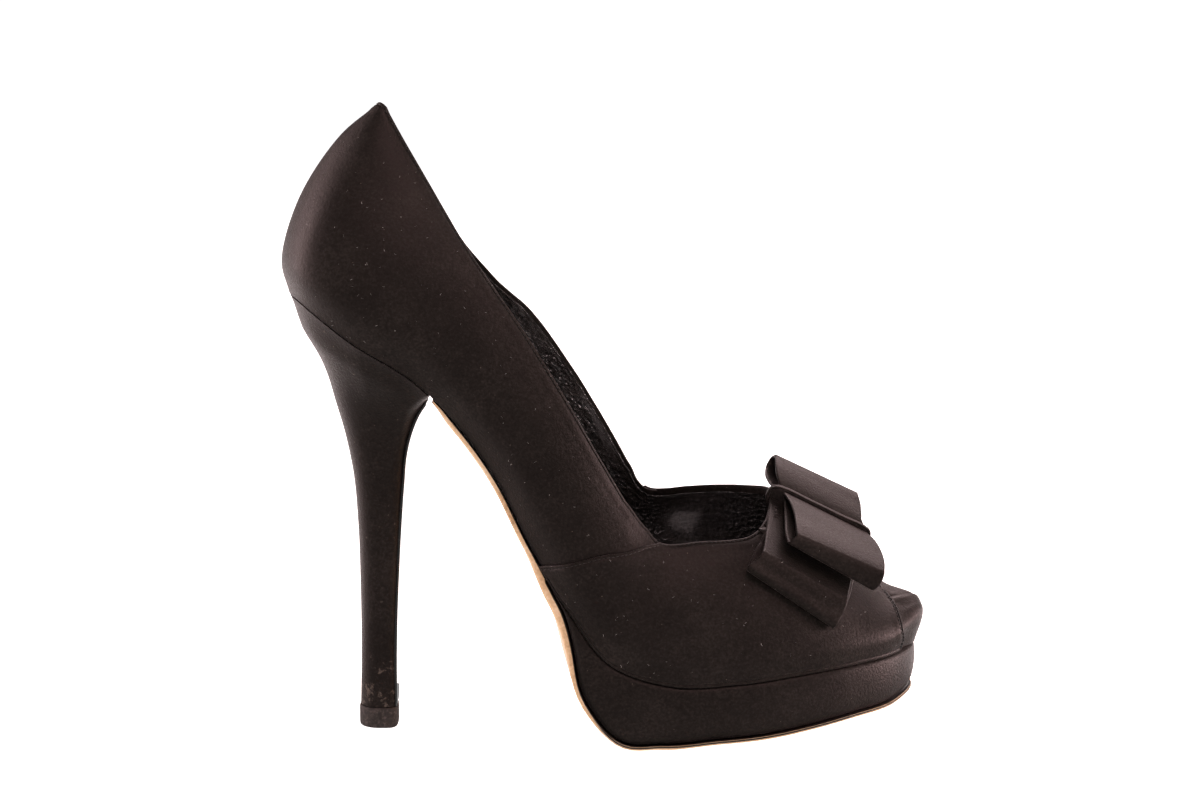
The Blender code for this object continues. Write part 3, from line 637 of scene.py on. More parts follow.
def soleLeather(name):
    # Oak-bark tanned sole leather, sanded and waxed: warm tan with fine grain, darker clouds and rub marks.
    # Its edge dye is put on where the piece's own dye attribute says, unevenly, as by hand. A paler band
    # that the attribute leaves along the top of the forefoot's edge is a painted highlight.
    look = leatherLook
    material, tree, shader = newMaterial(name, Roughness=0.36, IOR=1.46, Specular_IOR_Level=0.5)
    place = addNode(tree, "ShaderNodeTexCoord").outputs["Object"]
    cloud = addNode(tree, "ShaderNodeTexNoise", {"Scale": 1 / look["cloud"], "Detail": 5.0},
                    {"Vector": place})
    grain = addNode(tree, "ShaderNodeTexNoise", {"Scale": 1 / look["grain"], "Detail": 3.0},
                    {"Vector": place})
    mixed = addNode(tree, "ShaderNodeMath", {1: 0.4}, {0: grain}, operation="MULTIPLY")
    both = addNode(tree, "ShaderNodeMath", {1: 0.6}, {0: cloud, 2: mixed}, operation="MULTIPLY_ADD")
    tanned = addNode(tree, "ShaderNodeValToRGB", links={0: both},
                     stops=[(0.32, "#a5805a"), (0.68, "#dfc4a6"), (0.50, "#c9a781")])
    # The dye attribute also carries the forefoot edge's paler band, a painted highlight
    dye = addNode(tree, "ShaderNodeAttribute", attribute_name="dye")
    patchy = addNode(tree, "ShaderNodeMath", {1: 0.45}, {0: cloud, 2: dye.outputs["Fac"]},
                     operation="MULTIPLY_ADD")
    share = addNode(tree, "ShaderNodeMapRange", {1: 0.42, 2: 0.92, 3: 0.0, 4: 1.0}, {0: patchy})
    mix = addNode(tree, "ShaderNodeMix", {7: linear(look["dye"])},
                  {0: share, 6: tanned}, data_type="RGBA")
    bump = addNode(tree, "ShaderNodeBump", {"Strength": 0.35, "Distance": look["depth"]},
                   {"Height": grain})
    joined(tree, shader, {"Base Color": mix.outputs[2], "Normal": bump})
    return material


def mottled(name, size, stops, detail=1.0, uneven=0.5, raised=None, **values):
    # A material with one soft pattern of its own size, which tints it, and also lifts it where raised gives
    # how strongly and how high
    material, tree, shader = newMaterial(name, **values)
    place = addNode(tree, "ShaderNodeTexCoord").outputs["Object"]
    tone = addNode(tree, "ShaderNodeTexNoise", {"Scale": 1 / size, "Detail": detail, "Roughness": uneven},
                   {"Vector": place})
    shade = addNode(tree, "ShaderNodeValToRGB", links={0: tone}, stops=stops)
    joined(tree, shader, {"Base Color": shade})
    if raised:
        bump = addNode(tree, "ShaderNodeBump", {"Strength": raised[0], "Distance": raised[1]},
                       {"Height": tone})
        joined(tree, shader, {"Normal": bump})
    return material


satin = duchesseSatin("wovenDuchesseSatin")
heelSatin = duchesseSatin("rubbedDuchesseSatin", rubbed=(0.008, 0.030))
lining = glazedLining("glazedKidLining")
leather = soleLeather("waxedSoleLeather")

# Black patent sheet pulled over the heel's breast: a hard gloss that mirrors the floor, slightly uneven
patent = mottled("blackPatentSheet", 0.006, [(0.3, "#0a0908"), (0.7, "#15110f")], detail=2.0,
                 raised=(0.25, 0.00025), Roughness=0.10, IOR=1.50, Specular_IOR_Level=0.5, Coat_Weight=0.8,
                 Coat_Roughness=0.05)

# Moulded polyurethane heel tip: matt charcoal, scuffed grey along its edge
rubber = mottled("mouldedTipRubber", 0.0012, [(0.36, "#231c1a"), (0.74, "#564845"), (0.55, "#322a27")],
                 detail=5.0, uneven=0.7, raised=(0.4, 0.00010), Roughness=0.72, IOR=1.50,
                 Specular_IOR_Level=0.35)

# Twisted polyester sewing thread, a little shinier than the satin, its two plies catching the light in turn
twisted = {"Roughness": 0.50, "Specular_IOR_Level": 0.25, "Sheen_Weight": 0.1}
thread = mottled("twistedSewingThread", 0.0003, [(0.3, "#060505"), (0.7, "#1a1614")], **twisted)
# A lighter copy of the same thread for the vamp's seam: its paler tone is a painted highlight
highlitSeamThread = mottled("twistedHighlitThread", 0.0003, [(0.3, "#1a1514"), (0.7, "#463c3a")], **twisted)

# Stray cotton fibre and dust that clings to satin: dull, nearly white
fluff = mottled("clingingCottonLint", 0.003, [(0.35, "#4f4845"), (0.65, "#a8a09c")], Roughness=0.9,
                Specular_IOR_Level=0.1, Sheen_Weight=0.2)
print("materials ready")


# Upper

upperCut = {
    # Where the toe is flatter than the last, and the vamp's seam as (level, walk)
    "toeDrop": {"depth": 0.0004, "width": 0.024, "start": (0.24, 0.44), "end": (0.62, 0.95)},
    "seam": [(0.0, 0.1395), (0.088, 0.1415), (0.294, 0.1481), (0.475, 0.1546), (0.75, 0.1633),
             (1.0, 0.1753)],
}


def vampSeam(level):
    rows = np.array(upperCut["seam"])
    return smoothCurve(rows[:, 0], rows[:, 1], np.clip(level, 0, 1).ravel()).reshape(np.shape(level))


def toeDrop(walk, level):
    # The real toe is flatter on top than the last's section there, so its skins sit a little lower
    drop = upperCut["toeDrop"]
    side = np.exp(-((walk - toeAt) / drop["width"]) ** 2)
    return -drop["depth"] * side * smoothStep(*drop["start"], level) * fadeOut(*drop["end"], level)


quarter = {
    "thick": 0.00090,
    "overlap": 0.0065,
    "lines": (120, 0.170, 0.0006),
    "rises": (44, 0.060, 0.0006),
    "rims": (0.0003, 0.0002, 0.00040, 0.00045),
}


def makeQuarters():
    # Each from the back seam to a little under the vamp
    levels, shares = spacedLines(*quarter["rises"], fine=True), spacedLines(*quarter["lines"])
    level = levels[None, :]
    for name, sign in (("quarterOuter", 1), ("quarterInner", -1)):
        front = vampSeam(levels)[None, :] + quarter["overlap"]
        if sign < 0:
            front = wayRound - mirrored(front)
        walk = sign * shares[:, None] * front
        piece = lastSheet(name, walk, level, 0.0, quarter["thick"], quarter["rims"], satin, "satin",
                          sewn=(3,), rolled=(3,))
        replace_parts(piece, "upper")


# How far the vamp's front edge is from the toe's middle line at each level, from the feather up
toeEdge = [(0.00, 0.0163), (0.10, 0.0183), (0.18, 0.0200), (0.25, 0.0192), (0.31, 0.0167),
           (0.356, 0.0138), (0.413, 0.0093), (0.458, 0.0050), (0.476, 0.0022), (0.480, 0.0)]
cornerWalk = toeAt - toeEdge[0][1]

vampCut = {
    # Raised where it laps over the quarters, and thicker further forward
    "raised": 0.00025,
    "lapRise": 0.00052,
    "lapEnd": (0.007, 0.022),
    "thick": 0.00070,
    "full": 0.0012,
    "fullFrom": (0.010, 0.022),
    "rims": (0.00034, 0.00034, 0.00034, 0.00045),
    # The lines across the vamp start on its foot, and further forward on its front edge. Some are given as
    # their share of the way from the seam to the toe, where they bend as (walk, level), and where they end.
    "footShare": 0.66,
    "footLines": (99, 0.134, 0.0005),
    "frontLines": 75,
    "rises": (58, 0.050, 0.0005),
    "cross": [(0, 0.1532, 0.50, 0.1753), (0.25, 0.191, 0.49, 0.204), (0.5, 0.226, 0.42, 0.228),
              (0.66, 0.2450, 0.30, 0.2420), (0.80, 0.2520, 0.46, 0.2570), (0.92, 0.2690, 0.64, 0.2760),
              (1.0, toeAt, 0.72, toeAt)],
}


def vampLines():
    # From the seam to the toe's middle line: where each cross line starts, bends and ends, as (walk, level)
    edge, cross = np.array(toeEdge), np.array(vampCut["cross"])
    foot = vampCut["footShare"]
    onFoot = spacedLines(*vampCut["footLines"], fine=True) * foot
    onFront = foot + (1 - foot) * np.linspace(0, 1, vampCut["frontLines"])[1:]
    shares = np.unique(np.round(np.concatenate([onFoot, onFront]), 7))
    along = smoothCurve(np.linspace(0, 1, len(edge)), edge, np.clip((shares - foot) / (1 - foot), 0, 1))
    seamFoot = vampSeam(np.zeros(1))[0]
    behind = shares < foot
    startWalk = np.where(behind, seamFoot + (cornerWalk - seamFoot) * shares / foot, toeAt - along[:, 1])
    startLevel = np.where(behind, 0.0, along[:, 0])
    bent = smoothCurve(cross[:, 0], cross[:, 1:], shares)
    return startWalk, startLevel, bent[:, :2], bent[:, 2]


def vampPatch(lines, rise):
    startWalk, startLevel, bends, ends = lines
    b = rise[None, :]
    walk = (1 - b) ** 2 * startWalk[:, None] + 2 * b * (1 - b) * bends[:, :1] + b**2 * ends[:, None]
    level = (1 - b) ** 2 * startLevel[:, None] + 2 * b * (1 - b) * bends[:, 1:] + b**2
    return walk, np.clip(level, 0, 1)


def pastSeam(walk, level):
    return np.minimum(walk - vampSeam(level), mirrored(walk) - vampSeam(level))


def vampTop(walk, level):
    lap = fadeOut(*vampCut["lapEnd"], pastSeam(walk, level))
    return vampCut["raised"] + vampCut["lapRise"] * lap + toeDrop(walk, level)


def makeVamp():
    walk, level = vampPatch(vampLines(), spacedLines(*vampCut["rises"], fine=True))
    walk = np.concatenate([walk, mirrored(walk[-2::-1])])
    level = np.concatenate([level, level[-2::-1]])
    more = smoothStep(*vampCut["fullFrom"], pastSeam(walk, level))
    thick = vampCut["thick"] + (vampCut["full"] - vampCut["thick"]) * more
    return lastSheet("vamp", walk, level, vampTop(walk, level), thick, vampCut["rims"], satin, "satin",
                     sewn=(0, 1, 2, 3), rolled=(3,))


toeCap = {
    "half": 0.030,
    "top": 0.64,
    "steps": (170, 96),
    "rims": (0.0002, 0.0002, 0.0003, 0.0002),
    "thick": 0.0006,
    "under": 0.00077,
    # It fills out under the vamp's edge, this far up and this near the middle line
    "fill": 0.0016,
    "fillNear": (0.005, 0.017),
    "fillTop": (0.44, 0.54),
    # The gathered fold on top runs down sideways. It starts and ends this many millimetres from the middle
    # line. Its crest, crack and hollow are given as height, distance above the fold, and width.
    "foldAt": 0.383,
    "foldFall": 0.0090,
    "foldStart": (-16, -9),
    "foldEnd": (-1, 7),
    "waves": [(0.00030, -0.022, 0.020), (-0.00030, 0.012, 0.010), (-0.00022, -0.085, 0.026)],
}


def capFold(walk, level):
    # The satin is gathered into one small fold on top of the toe, with a hollow below it
    away = (walk - toeAt) * 1000
    line = toeCap["foldAt"] - (away + 10) * toeCap["foldFall"]
    reach = smoothStep(*toeCap["foldStart"], away) * fadeOut(*toeCap["foldEnd"], away)
    waves = 0.0
    for high, above, wide in toeCap["waves"]:
        waves = waves + high * np.exp(-(((level - line - above) / wide) ** 2))
    return reach * waves


def makeToeCap():
    steps, rises = toeCap["steps"]
    walk = toeAt + np.linspace(-toeCap["half"], toeCap["half"], steps)[:, None]
    level = np.linspace(0, toeCap["top"], rises)[None, :]
    near = fadeOut(*toeCap["fillNear"], np.abs(walk - toeAt))
    inset = toeCap["fill"] * near * fadeOut(*toeCap["fillTop"], level) - toeCap["under"]
    top = inset + toeDrop(walk, level) + capFold(walk, level)
    return lastSheet("toeCap", walk, level, top, toeCap["thick"], toeCap["rims"], satin, "satin")


liningCut = {
    # The side seams are butted and covered with a strip, which shows as a low ridge
    "thick": 0.00065,
    "under": 0.00100,
    "drop": 0.0020,
    "seam": 0.1775,
    "strip": 0.00030,
    "stripSide": (0.0003, 0.0009),
    "beside": (0.0002, 0.0005, 0.0008, 0.0012),
    "wall": 0.055,
    "steps": (340, 44),
    "rims": (0, 0, 0.0003, 0.0003),
}


def makeLining():
    steps, rises = liningCut["steps"]
    level = spacedLines(rises, liningCut["wall"], 0.0004)[None, :]
    level = level * (1 - liningCut["drop"] / liningCut["wall"])
    seams = [liningCut["seam"], (2 * toeAt - liningCut["seam"]) % wayRound]
    lines = [np.linspace(0, wayRound, steps, endpoint=False)]
    for at in seams:
        lines += [at - np.array(liningCut["beside"]), at + np.array(liningCut["beside"])]
    walk = np.unique(np.round(np.concatenate(lines), 6))[:, None]
    out = toeDrop(walk, level) - liningCut["under"]
    for at in seams:
        out = out - liningCut["strip"] * fadeOut(*liningCut["stripSide"], np.abs(walk - at))
    return lastSheet("lining", walk, level, out, liningCut["thick"], liningCut["rims"], lining,
                     "black_lining", wrap=True)


makeQuarters()
for piece in (makeVamp(), makeToeCap(), makeLining()):
    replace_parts(piece, "upper")
print("upper ready")


# Sole

sole = {
    "gap": 0.0003,
    "mostDepth": 0.0234,
    "edgeReach": 0.75,
    "edgeLift": 0.0024,
    "edgeThick": 0.0013,
    "waistThick": 0.0039,
    "foreThick": 0.0021,
    "thinning": (0.40, 0.56),
    "outsoleStart": 0.2430,
    # The wrap's lower rim drops, from near its outline and a little ahead of its start
    "wrapDrop": 0.0006,
    "rimFrom": (0.90, 0.99),
    "rimStart": (0.0, 0.010),
    # The outsole's breast end is cut away by this share of its thickness and narrowed
    "breastCut": 0.45,
    "breastEnd": (0.0, 0.010),
    "taper": 0.0010,
    "taperEnd": (0.004, 0.013),
    "foreFrom": (0.50, 0.57),
    "steps": {"waist": 60, "fore": 150, "across": 41, "wrapAcross": 33, "sock": 130},
    # Share of the length, depth below the feather as a share of the most, and how far the edge lifts
    "depths": [(0.215, 0.150, 0.90), (0.277, 0.150, 0.85), (0.336, 0.150, 0.85), (0.389, 0.172, 0.85),
               (0.425, 0.230, 0.60), (0.446, 0.285, 0.80), (0.480, 0.470, 1.00), (0.515, 0.715, 0.05),
               (0.558, 1.055, 0.75), (0.606, 1.052, 1.60), (0.655, 0.925, 1.05), (0.710, 0.868, 0.55),
               (0.802, 0.800, 0.10), (0.884, 0.738, 0.00), (0.947, 0.718, 0.08), (0.989, 0.675, 0.15)],
    # Edges as (share of the height, how far out), the outsole's also with the waist's and forefoot's dye.
    # The forefoot's paler band near its top is a painted highlight.
    "wrapEdge": [(0.0, -0.0013), (0.03, -0.0007), (0.09, -0.0001), (0.18, 0.0004), (0.35, 0.0008),
                 (0.55, 0.0010), (0.75, 0.0009), (0.88, 0.0007), (0.94, 0.0005), (0.975, 0.0001),
                 (1.0, -0.0006)],
    # In the forefoot's column, the share of 0.35 from 0.84 to 0.90 of the height is a painted highlight
    # along the edge
    "outsoleEdge": [(0.0, -0.0006, 0.0, 0.0), (0.16, 0.0001, 0.0, 0.05), (0.34, 0.0004, 0.0, 0.20),
                    (0.48, 0.0004, 0.0, 0.45), (0.60, 0.0004, 0.0, 1.0), (0.76, 0.0004, 0.05, 1.0),
                    (0.84, 0.0004, 0.9, 0.35), (0.90, 0.0003, 1.0, 0.35), (0.95, 0.0001, 1.0, 1.0),
                    (1.0, -0.0004, 1.0, 1.0)],
    # The sock's edge as (level, how far inside the last)
    "sockEdge": [(0.0, 0.0022), (0.006, 0.0018), (0.036, 0.0018), (0.046, 0.0020), (0.050, 0.0026)],
}


def featherLine(at):
    outer = around(walkRows[:, 0], at)
    inner = around(walkRows[:, 0], (2 * toeAt - np.asarray(at)) % wayRound)
    return outer[:, 0], outer[:, 2], (inner[:, 1] - outer[:, 1]) / 2, (inner[:, 1] + outer[:, 1]) / 2


def slopesOf(at):
    step = 0.0015
    ahead = featherLine(np.minimum(np.asarray(at) + step, toeAt))
    behind = featherLine(np.maximum(np.asarray(at) - step, 0.0))
    along, rise, half = (ahead[k] - behind[k] for k in range(3))
    run = np.hypot(along, rise)
    return along / run, rise / run, half, run


def solePoints(at, across, height, widen=0.0):
    along, rise, half, swing = featherLine(at)
    tangentX, tangentZ, growth, run = slopesOf(at)
    turned = np.hypot(growth, run)
    widen = widen + 0 * along
    forward = -widen * growth / turned
    across = np.asarray(across)[None, :]
    height = np.broadcast_to(height, (len(along), across.shape[1]))
    outer = np.where(half > 1e-4, half + widen * run / turned, 0.0)[:, None]
    # A row that has shrunk to one point has one height
    height = np.where(outer > 0, height, height[:, :1])
    grid = np.stack([
        (along + tangentX * forward)[:, None] - tangentZ[:, None] * height,
        swing[:, None] + outer * across,
        (rise + tangentZ * forward)[:, None] + tangentX[:, None] * height,
    ], axis=2)
    return grid - lastMiddle


def edgeNearness(at, across):
    half = featherLine(at)[2][:, None]
    inside = half * (1 - np.abs(np.asarray(across))[None, :])
    return np.clip(1 - inside / (sole["edgeReach"] * last["halfWidth"]), 0, 1)


def bottomHeight(at, across):
    along = featherLine(at)[0] / last["length"]
    rows = np.array(sole["depths"])
    depth, edge = smoothCurve(rows[:, 0], rows[:, 1:], np.clip(along, rows[0, 0], rows[-1, 0])).T
    rise = (edge * sole["edgeLift"])[:, None] * edgeNearness(at, across) ** 3
    return np.minimum(rise - (depth * sole["mostDepth"])[:, None], -3 * sole["gap"] - sole["edgeThick"])


def soleThickness(at):
    along = featherLine(at)[0] / last["length"]
    share = smoothStep(*sole["thinning"], along)
    return (sole["waistThick"] + (sole["foreThick"] - sole["waistThick"]) * share)[:, None]


denseStations = np.linspace(0, toeAt, 900)
platformRoom = -(bottomHeight(denseStations, np.zeros(1)) + soleThickness(denseStations))[:, 0]
withRoom = (platformRoom > 4 * sole["gap"]) & (denseStations > walkKnots[4])
platformFrom = denseStations[int(np.argmax(withRoom))]
outsoleFrom = np.interp(sole["outsoleStart"] * last["length"], featherLine(denseStations)[0], denseStations)


def outsoleTop(at, across):
    under = bottomHeight(at, across) + soleThickness(at)
    ceiling = np.where(np.asarray(at) >= platformFrom - 1e-9, -3 * sole["gap"], -sole["gap"])
    top = np.minimum(ceiling[:, None], under)
    return np.maximum(top, bottomHeight(at, across) + sole["edgeThick"])


def stationsFrom(start, count):
    # Evenly spaced at first, and crowded towards the toe, where the outline turns quickly, with no slivers
    share = np.delete(np.linspace(0, 1, count), [-4, -3, -2])
    return start + (toeAt - start) * np.sin(share * pi / 2) ** 0.85


def acrossLines(count):
    return np.sin(np.linspace(-1, 1, count) * pi / 2)


def wrapRim(at, across):
    # How far the wrap's lower edge and the outsole's upper one drop, along the forefoot's outline
    near = smoothStep(*sole["rimFrom"], np.abs(across))[None, :]
    return sole["wrapDrop"] * near * smoothStep(*sole["rimStart"], at - platformFrom)[:, None]


def makePlatform():
    steps = sole["steps"]
    at, across = stationsFrom(platformFrom, steps["fore"]), acrossLines(steps["wrapAcross"])
    bottom = bottomHeight(at, across) + soleThickness(at) + sole["gap"]
    bottom = np.minimum(bottom, -2 * sole["gap"]) - wrapRim(at, across)
    layers = []
    for share, widen in sole["wrapEdge"]:
        layers.append(solePoints(at, across, bottom + (-sole["gap"] - bottom) * share, widen))
    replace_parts(solidBetween("platformWrap", layers, satin), "platform")


def makeOutsole():
    # The waist's edge is left tan under one dark line. The forefoot's is dyed, but for one paler line near
    # its top, which is a painted highlight, and worn at its foot.
    steps = sole["steps"]
    waist = np.linspace(outsoleFrom, platformFrom, steps["waist"])[:-1]
    at = np.concatenate([waist, stationsFrom(platformFrom, steps["fore"])])
    across = acrossLines(steps["across"])
    low, high = bottomHeight(at, across), outsoleTop(at, across)
    fromBreast = at - outsoleFrom
    cut = sole["breastCut"] * fadeOut(*sole["breastEnd"], fromBreast)
    low = low + (high - low) * cut[:, None]
    taper = sole["taper"] * fadeOut(*sole["taperEnd"], fromBreast)
    high = high - wrapRim(at, across)
    fore = smoothStep(*sole["foreFrom"], featherLine(at)[0] / last["length"])
    layers, dyeAndHighlight = [], []
    for share, widen, waistDye, foreDyeAndHighlight in sole["outsoleEdge"]:
        layers.append(solePoints(at, across, low + (high - low) * share, widen - taper))
        layers[-1][..., 2] = np.maximum(layers[-1][..., 2], 0.0)
        # The forefoot's dye column carries a paler band near the top, a painted highlight
        dyeAndHighlight.append(waistDye + (foreDyeAndHighlight - waistDye) * fore)
    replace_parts(solidBetween("leatherOutsole", layers, leather, dyeAndHighlight=dyeAndHighlight), "outsole")


def makeSock():
    # Its edge follows the lining, wherever the upper's wall leans out
    share = np.delete(np.linspace(0, 1, sole["steps"]["sock"]), [1, 2, 3, 4, 5, -6, -5, -4, -3, -2])
    at = toeAt * (1 - np.cos(share * pi)) / 2
    across = acrossLines(sole["steps"]["wrapAcross"])[None, :, None]
    layers = []
    for level, inset in sole["sockEdge"]:
        outer, inner = onLast(at, level, 0 * at - inset), onLast(mirrored(at), level, 0 * at - inset)
        layers.append(outer[:, None] * (1 - across) / 2 + inner[:, None] * (1 + across) / 2)
    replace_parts(solidBetween("sockLining", layers, lining), "insole")


makePlatform()
makeOutsole()
makeSock()
print("sole ready")


# Heel

heel = {
    "tip": 0.0066,
    "lip": 0.0004,
    "breastThick": 0.0009,
    "breastHalf": 0.80,
    "breastLines": (22, 0.016, 0.0004),
    "breastRims": (0.0003, 0.0003, 0.0004, 0.0004),
    "steps": 96,
    "rows": 64,
    # A ring is widest this share of its depth from its back, and its front half is squared by these powers
    "backShare": 0.52,
    "square": (0.42, 0.62),
    # The seat's rings as (share of the first ring, gaps below the upper), and the one the pull leads up to
    "seat": [(0.5, 1.6), (0.96, 0.9), (1.03, 1.1)],
    "pullTo": (1.04, 2.0),
    "seatBack": 0.0008,
    "seatFront": (0.15, 0.60),
    "seatWide": 1.08,
    # How far it lies below the upper, as a share of those gaps at its sides, and more in front than behind
    "seatFall": (0.68, 0.32),
    "pull": (0.012, 0.030, 0.0050),
    # The tip's edge as (height, share of the foot's outline)
    "tipEdge": [(0.0, 0.95), (0.00012, 0.972), (0.0005, 0.99), (0.0011, 1.0), (0.0058, 1.0),
                (0.0063, 0.99), (0.0066, 0.965)],
    # Back and breast as shares of the length and of the height from tip to seat, then half the width
    "rings": [((0.0218, 0.9627), (0.2307, 0.7726), 0.560), ((0.0327, 0.9306), (0.2262, 0.7554), 0.490),
              ((0.0515, 0.8685), (0.2163, 0.7276), 0.405), ((0.0673, 0.8097), (0.2069, 0.6961), 0.333),
              ((0.0802, 0.7397), (0.1985, 0.6590), 0.270), ((0.0936, 0.6666), (0.1916, 0.6141), 0.226),
              ((0.1054, 0.5762), (0.1871, 0.5468), 0.193), ((0.1129, 0.4342), (0.1812, 0.4342), 0.174),
              ((0.1149, 0.2849), (0.1752, 0.2849), 0.164), ((0.1151, 0.1356), (0.1718, 0.1356), 0.159),
              ((0.1129, 0.0000), (0.1708, 0.0000), 0.156)],
}


def heelRows(count, first=0):
    # back x, back share, breast x, breast share, half width, smoothly between the rings
    rows = np.array([[*back, *breast, half] for back, breast, half in heel["rings"]])
    tall = last["heel"] - heel["tip"]
    steps = np.hypot(np.diff(rows[:, 0] * last["length"]), np.diff(rows[:, 1]) * tall)
    knots = np.concatenate([[0], np.cumsum(steps)])
    return smoothCurve(knots, rows, np.linspace(knots[first], knots[-1], count))


def heelPoint(along, share):
    foot = heel["tip"] + sole["gap"]
    return np.array([along * last["length"], 0, foot + share * (last["heel"] - foot)]) - lastMiddle


def heelSpan(row):
    back, breast = heelPoint(row[0], row[1]), heelPoint(row[2], row[3])
    return back, breast, (breast - back) / np.linalg.norm(breast - back)


def heelRing(row, grow=0.0):
    back, breast, forward = heelSpan(row)
    depth = np.linalg.norm(breast - back) + grow
    half = row[4] * last["halfWidth"] + grow
    backShare, (frontPower, sidePower) = heel["backShare"], heel["square"]
    middle = back + forward * (depth - grow) * backShare
    points = []
    for k in range(heel["steps"]):
        turn = 2 * pi * k / heel["steps"]
        reach, side = cos(turn), sin(turn)
        if reach < 0:
            out, width = reach * (backShare * depth + grow / 2), side
        else:
            out = abs(reach) ** frontPower * ((1 - backShare) * depth + grow / 2)
            width = np.sign(side) * abs(side) ** sidePower
        points.append(middle + forward * out + np.array([0, width * half, 0]))
    return np.array(points)


def seatRing(share, gaps):
    # The heel's first ring laid on the upper's slope, squarer in front and longer behind, and closer there
    ring = heelRing(heelRows(2)[0])
    middle = ring.mean(axis=0)
    reach = np.cos(2 * pi * np.arange(heel["steps"]) / heel["steps"])
    ring[:, 0] += (ring[0, 0] - ring[:, 0]) * smoothStep(*heel["seatFront"], reach)
    ring[:, 0] += heel["seatBack"] * np.minimum(reach, 0)
    at = np.linspace(0, walkKnots[4], 800)
    along, rise, half, swing = featherLine(at)
    tangentX, tangentZ, _, _ = slopesOf(at)
    fallen, tilt = heel["seatFall"]
    falls = gaps * sole["gap"] * (fallen + tilt * reach)
    points = []
    for point, fall in zip(middle + (ring - middle) * share, falls):
        k = int(np.argmin(np.abs(along - lastMiddle[0] - point[0])))
        width = (point[1] + lastMiddle[1]) * heel["seatWide"]
        width = np.clip(width, swing[k] - half[k], swing[k] + half[k])
        points.append([along[k] + tangentZ[k] * fall, width, rise[k] - tangentX[k] * fall])
    return np.array(points) - lastMiddle


def seatPull(ring):
    # The satin is stretched from the seat's edge down to the heel's own shape, further down at its sides
    first = heelRing(heelRows(heel["rows"])[0])
    fallen = np.linalg.norm(ring.mean(axis=0) - first.mean(axis=0))
    return (seatRing(*heel["pullTo"]) - first) * fadeOut(0.0, np.array(heel["pull"]), fallen)


def makeHeel():
    rings = [seatRing(share, gaps) for share, gaps in heel["seat"]]
    for row in heelRows(heel["rows"]):
        ring = heelRing(row)
        rings.append(ring + seatPull(ring))
    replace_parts(ringSolid("heelCover", rings, heelSatin), "heel")


def makeBreast():
    across = spacedLines(*heel["breastLines"])
    grid = []
    for row in heelRows(heel["rows"], first=1):
        _, breast, forward = heelSpan(row)
        width = heel["breastHalf"] * row[4] * last["halfWidth"]
        edge = breast + forward * sole["gap"] + seatPull(heelRing(row))[0] * (1, 0, 1)
        grid.append([edge + np.array([0, (2 * v - 1) * width, 0]) for v in across])
    grid, thick = np.array(grid), heel["breastThick"]
    piece = foldedSheet("breastCover", grid, thick, thick, heel["breastRims"], patent, "black_patent",
                        facing=-1.0)
    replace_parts(piece, "heel_breast")


def makeTip():
    foot = heelRing(heelRows(2)[-1], heel["lip"])
    rings = []
    for height, shrink in heel["tipEdge"]:
        ring = foot.mean(axis=0) + (foot - foot.mean(axis=0)) * shrink
        ring[:, 2] = height
        rings.append(ring)
    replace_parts(ringSolid("heelTip", rings, rubber), "top_piece")


makeHeel()
makeBreast()
makeTip()
print("heel ready")


# Bow

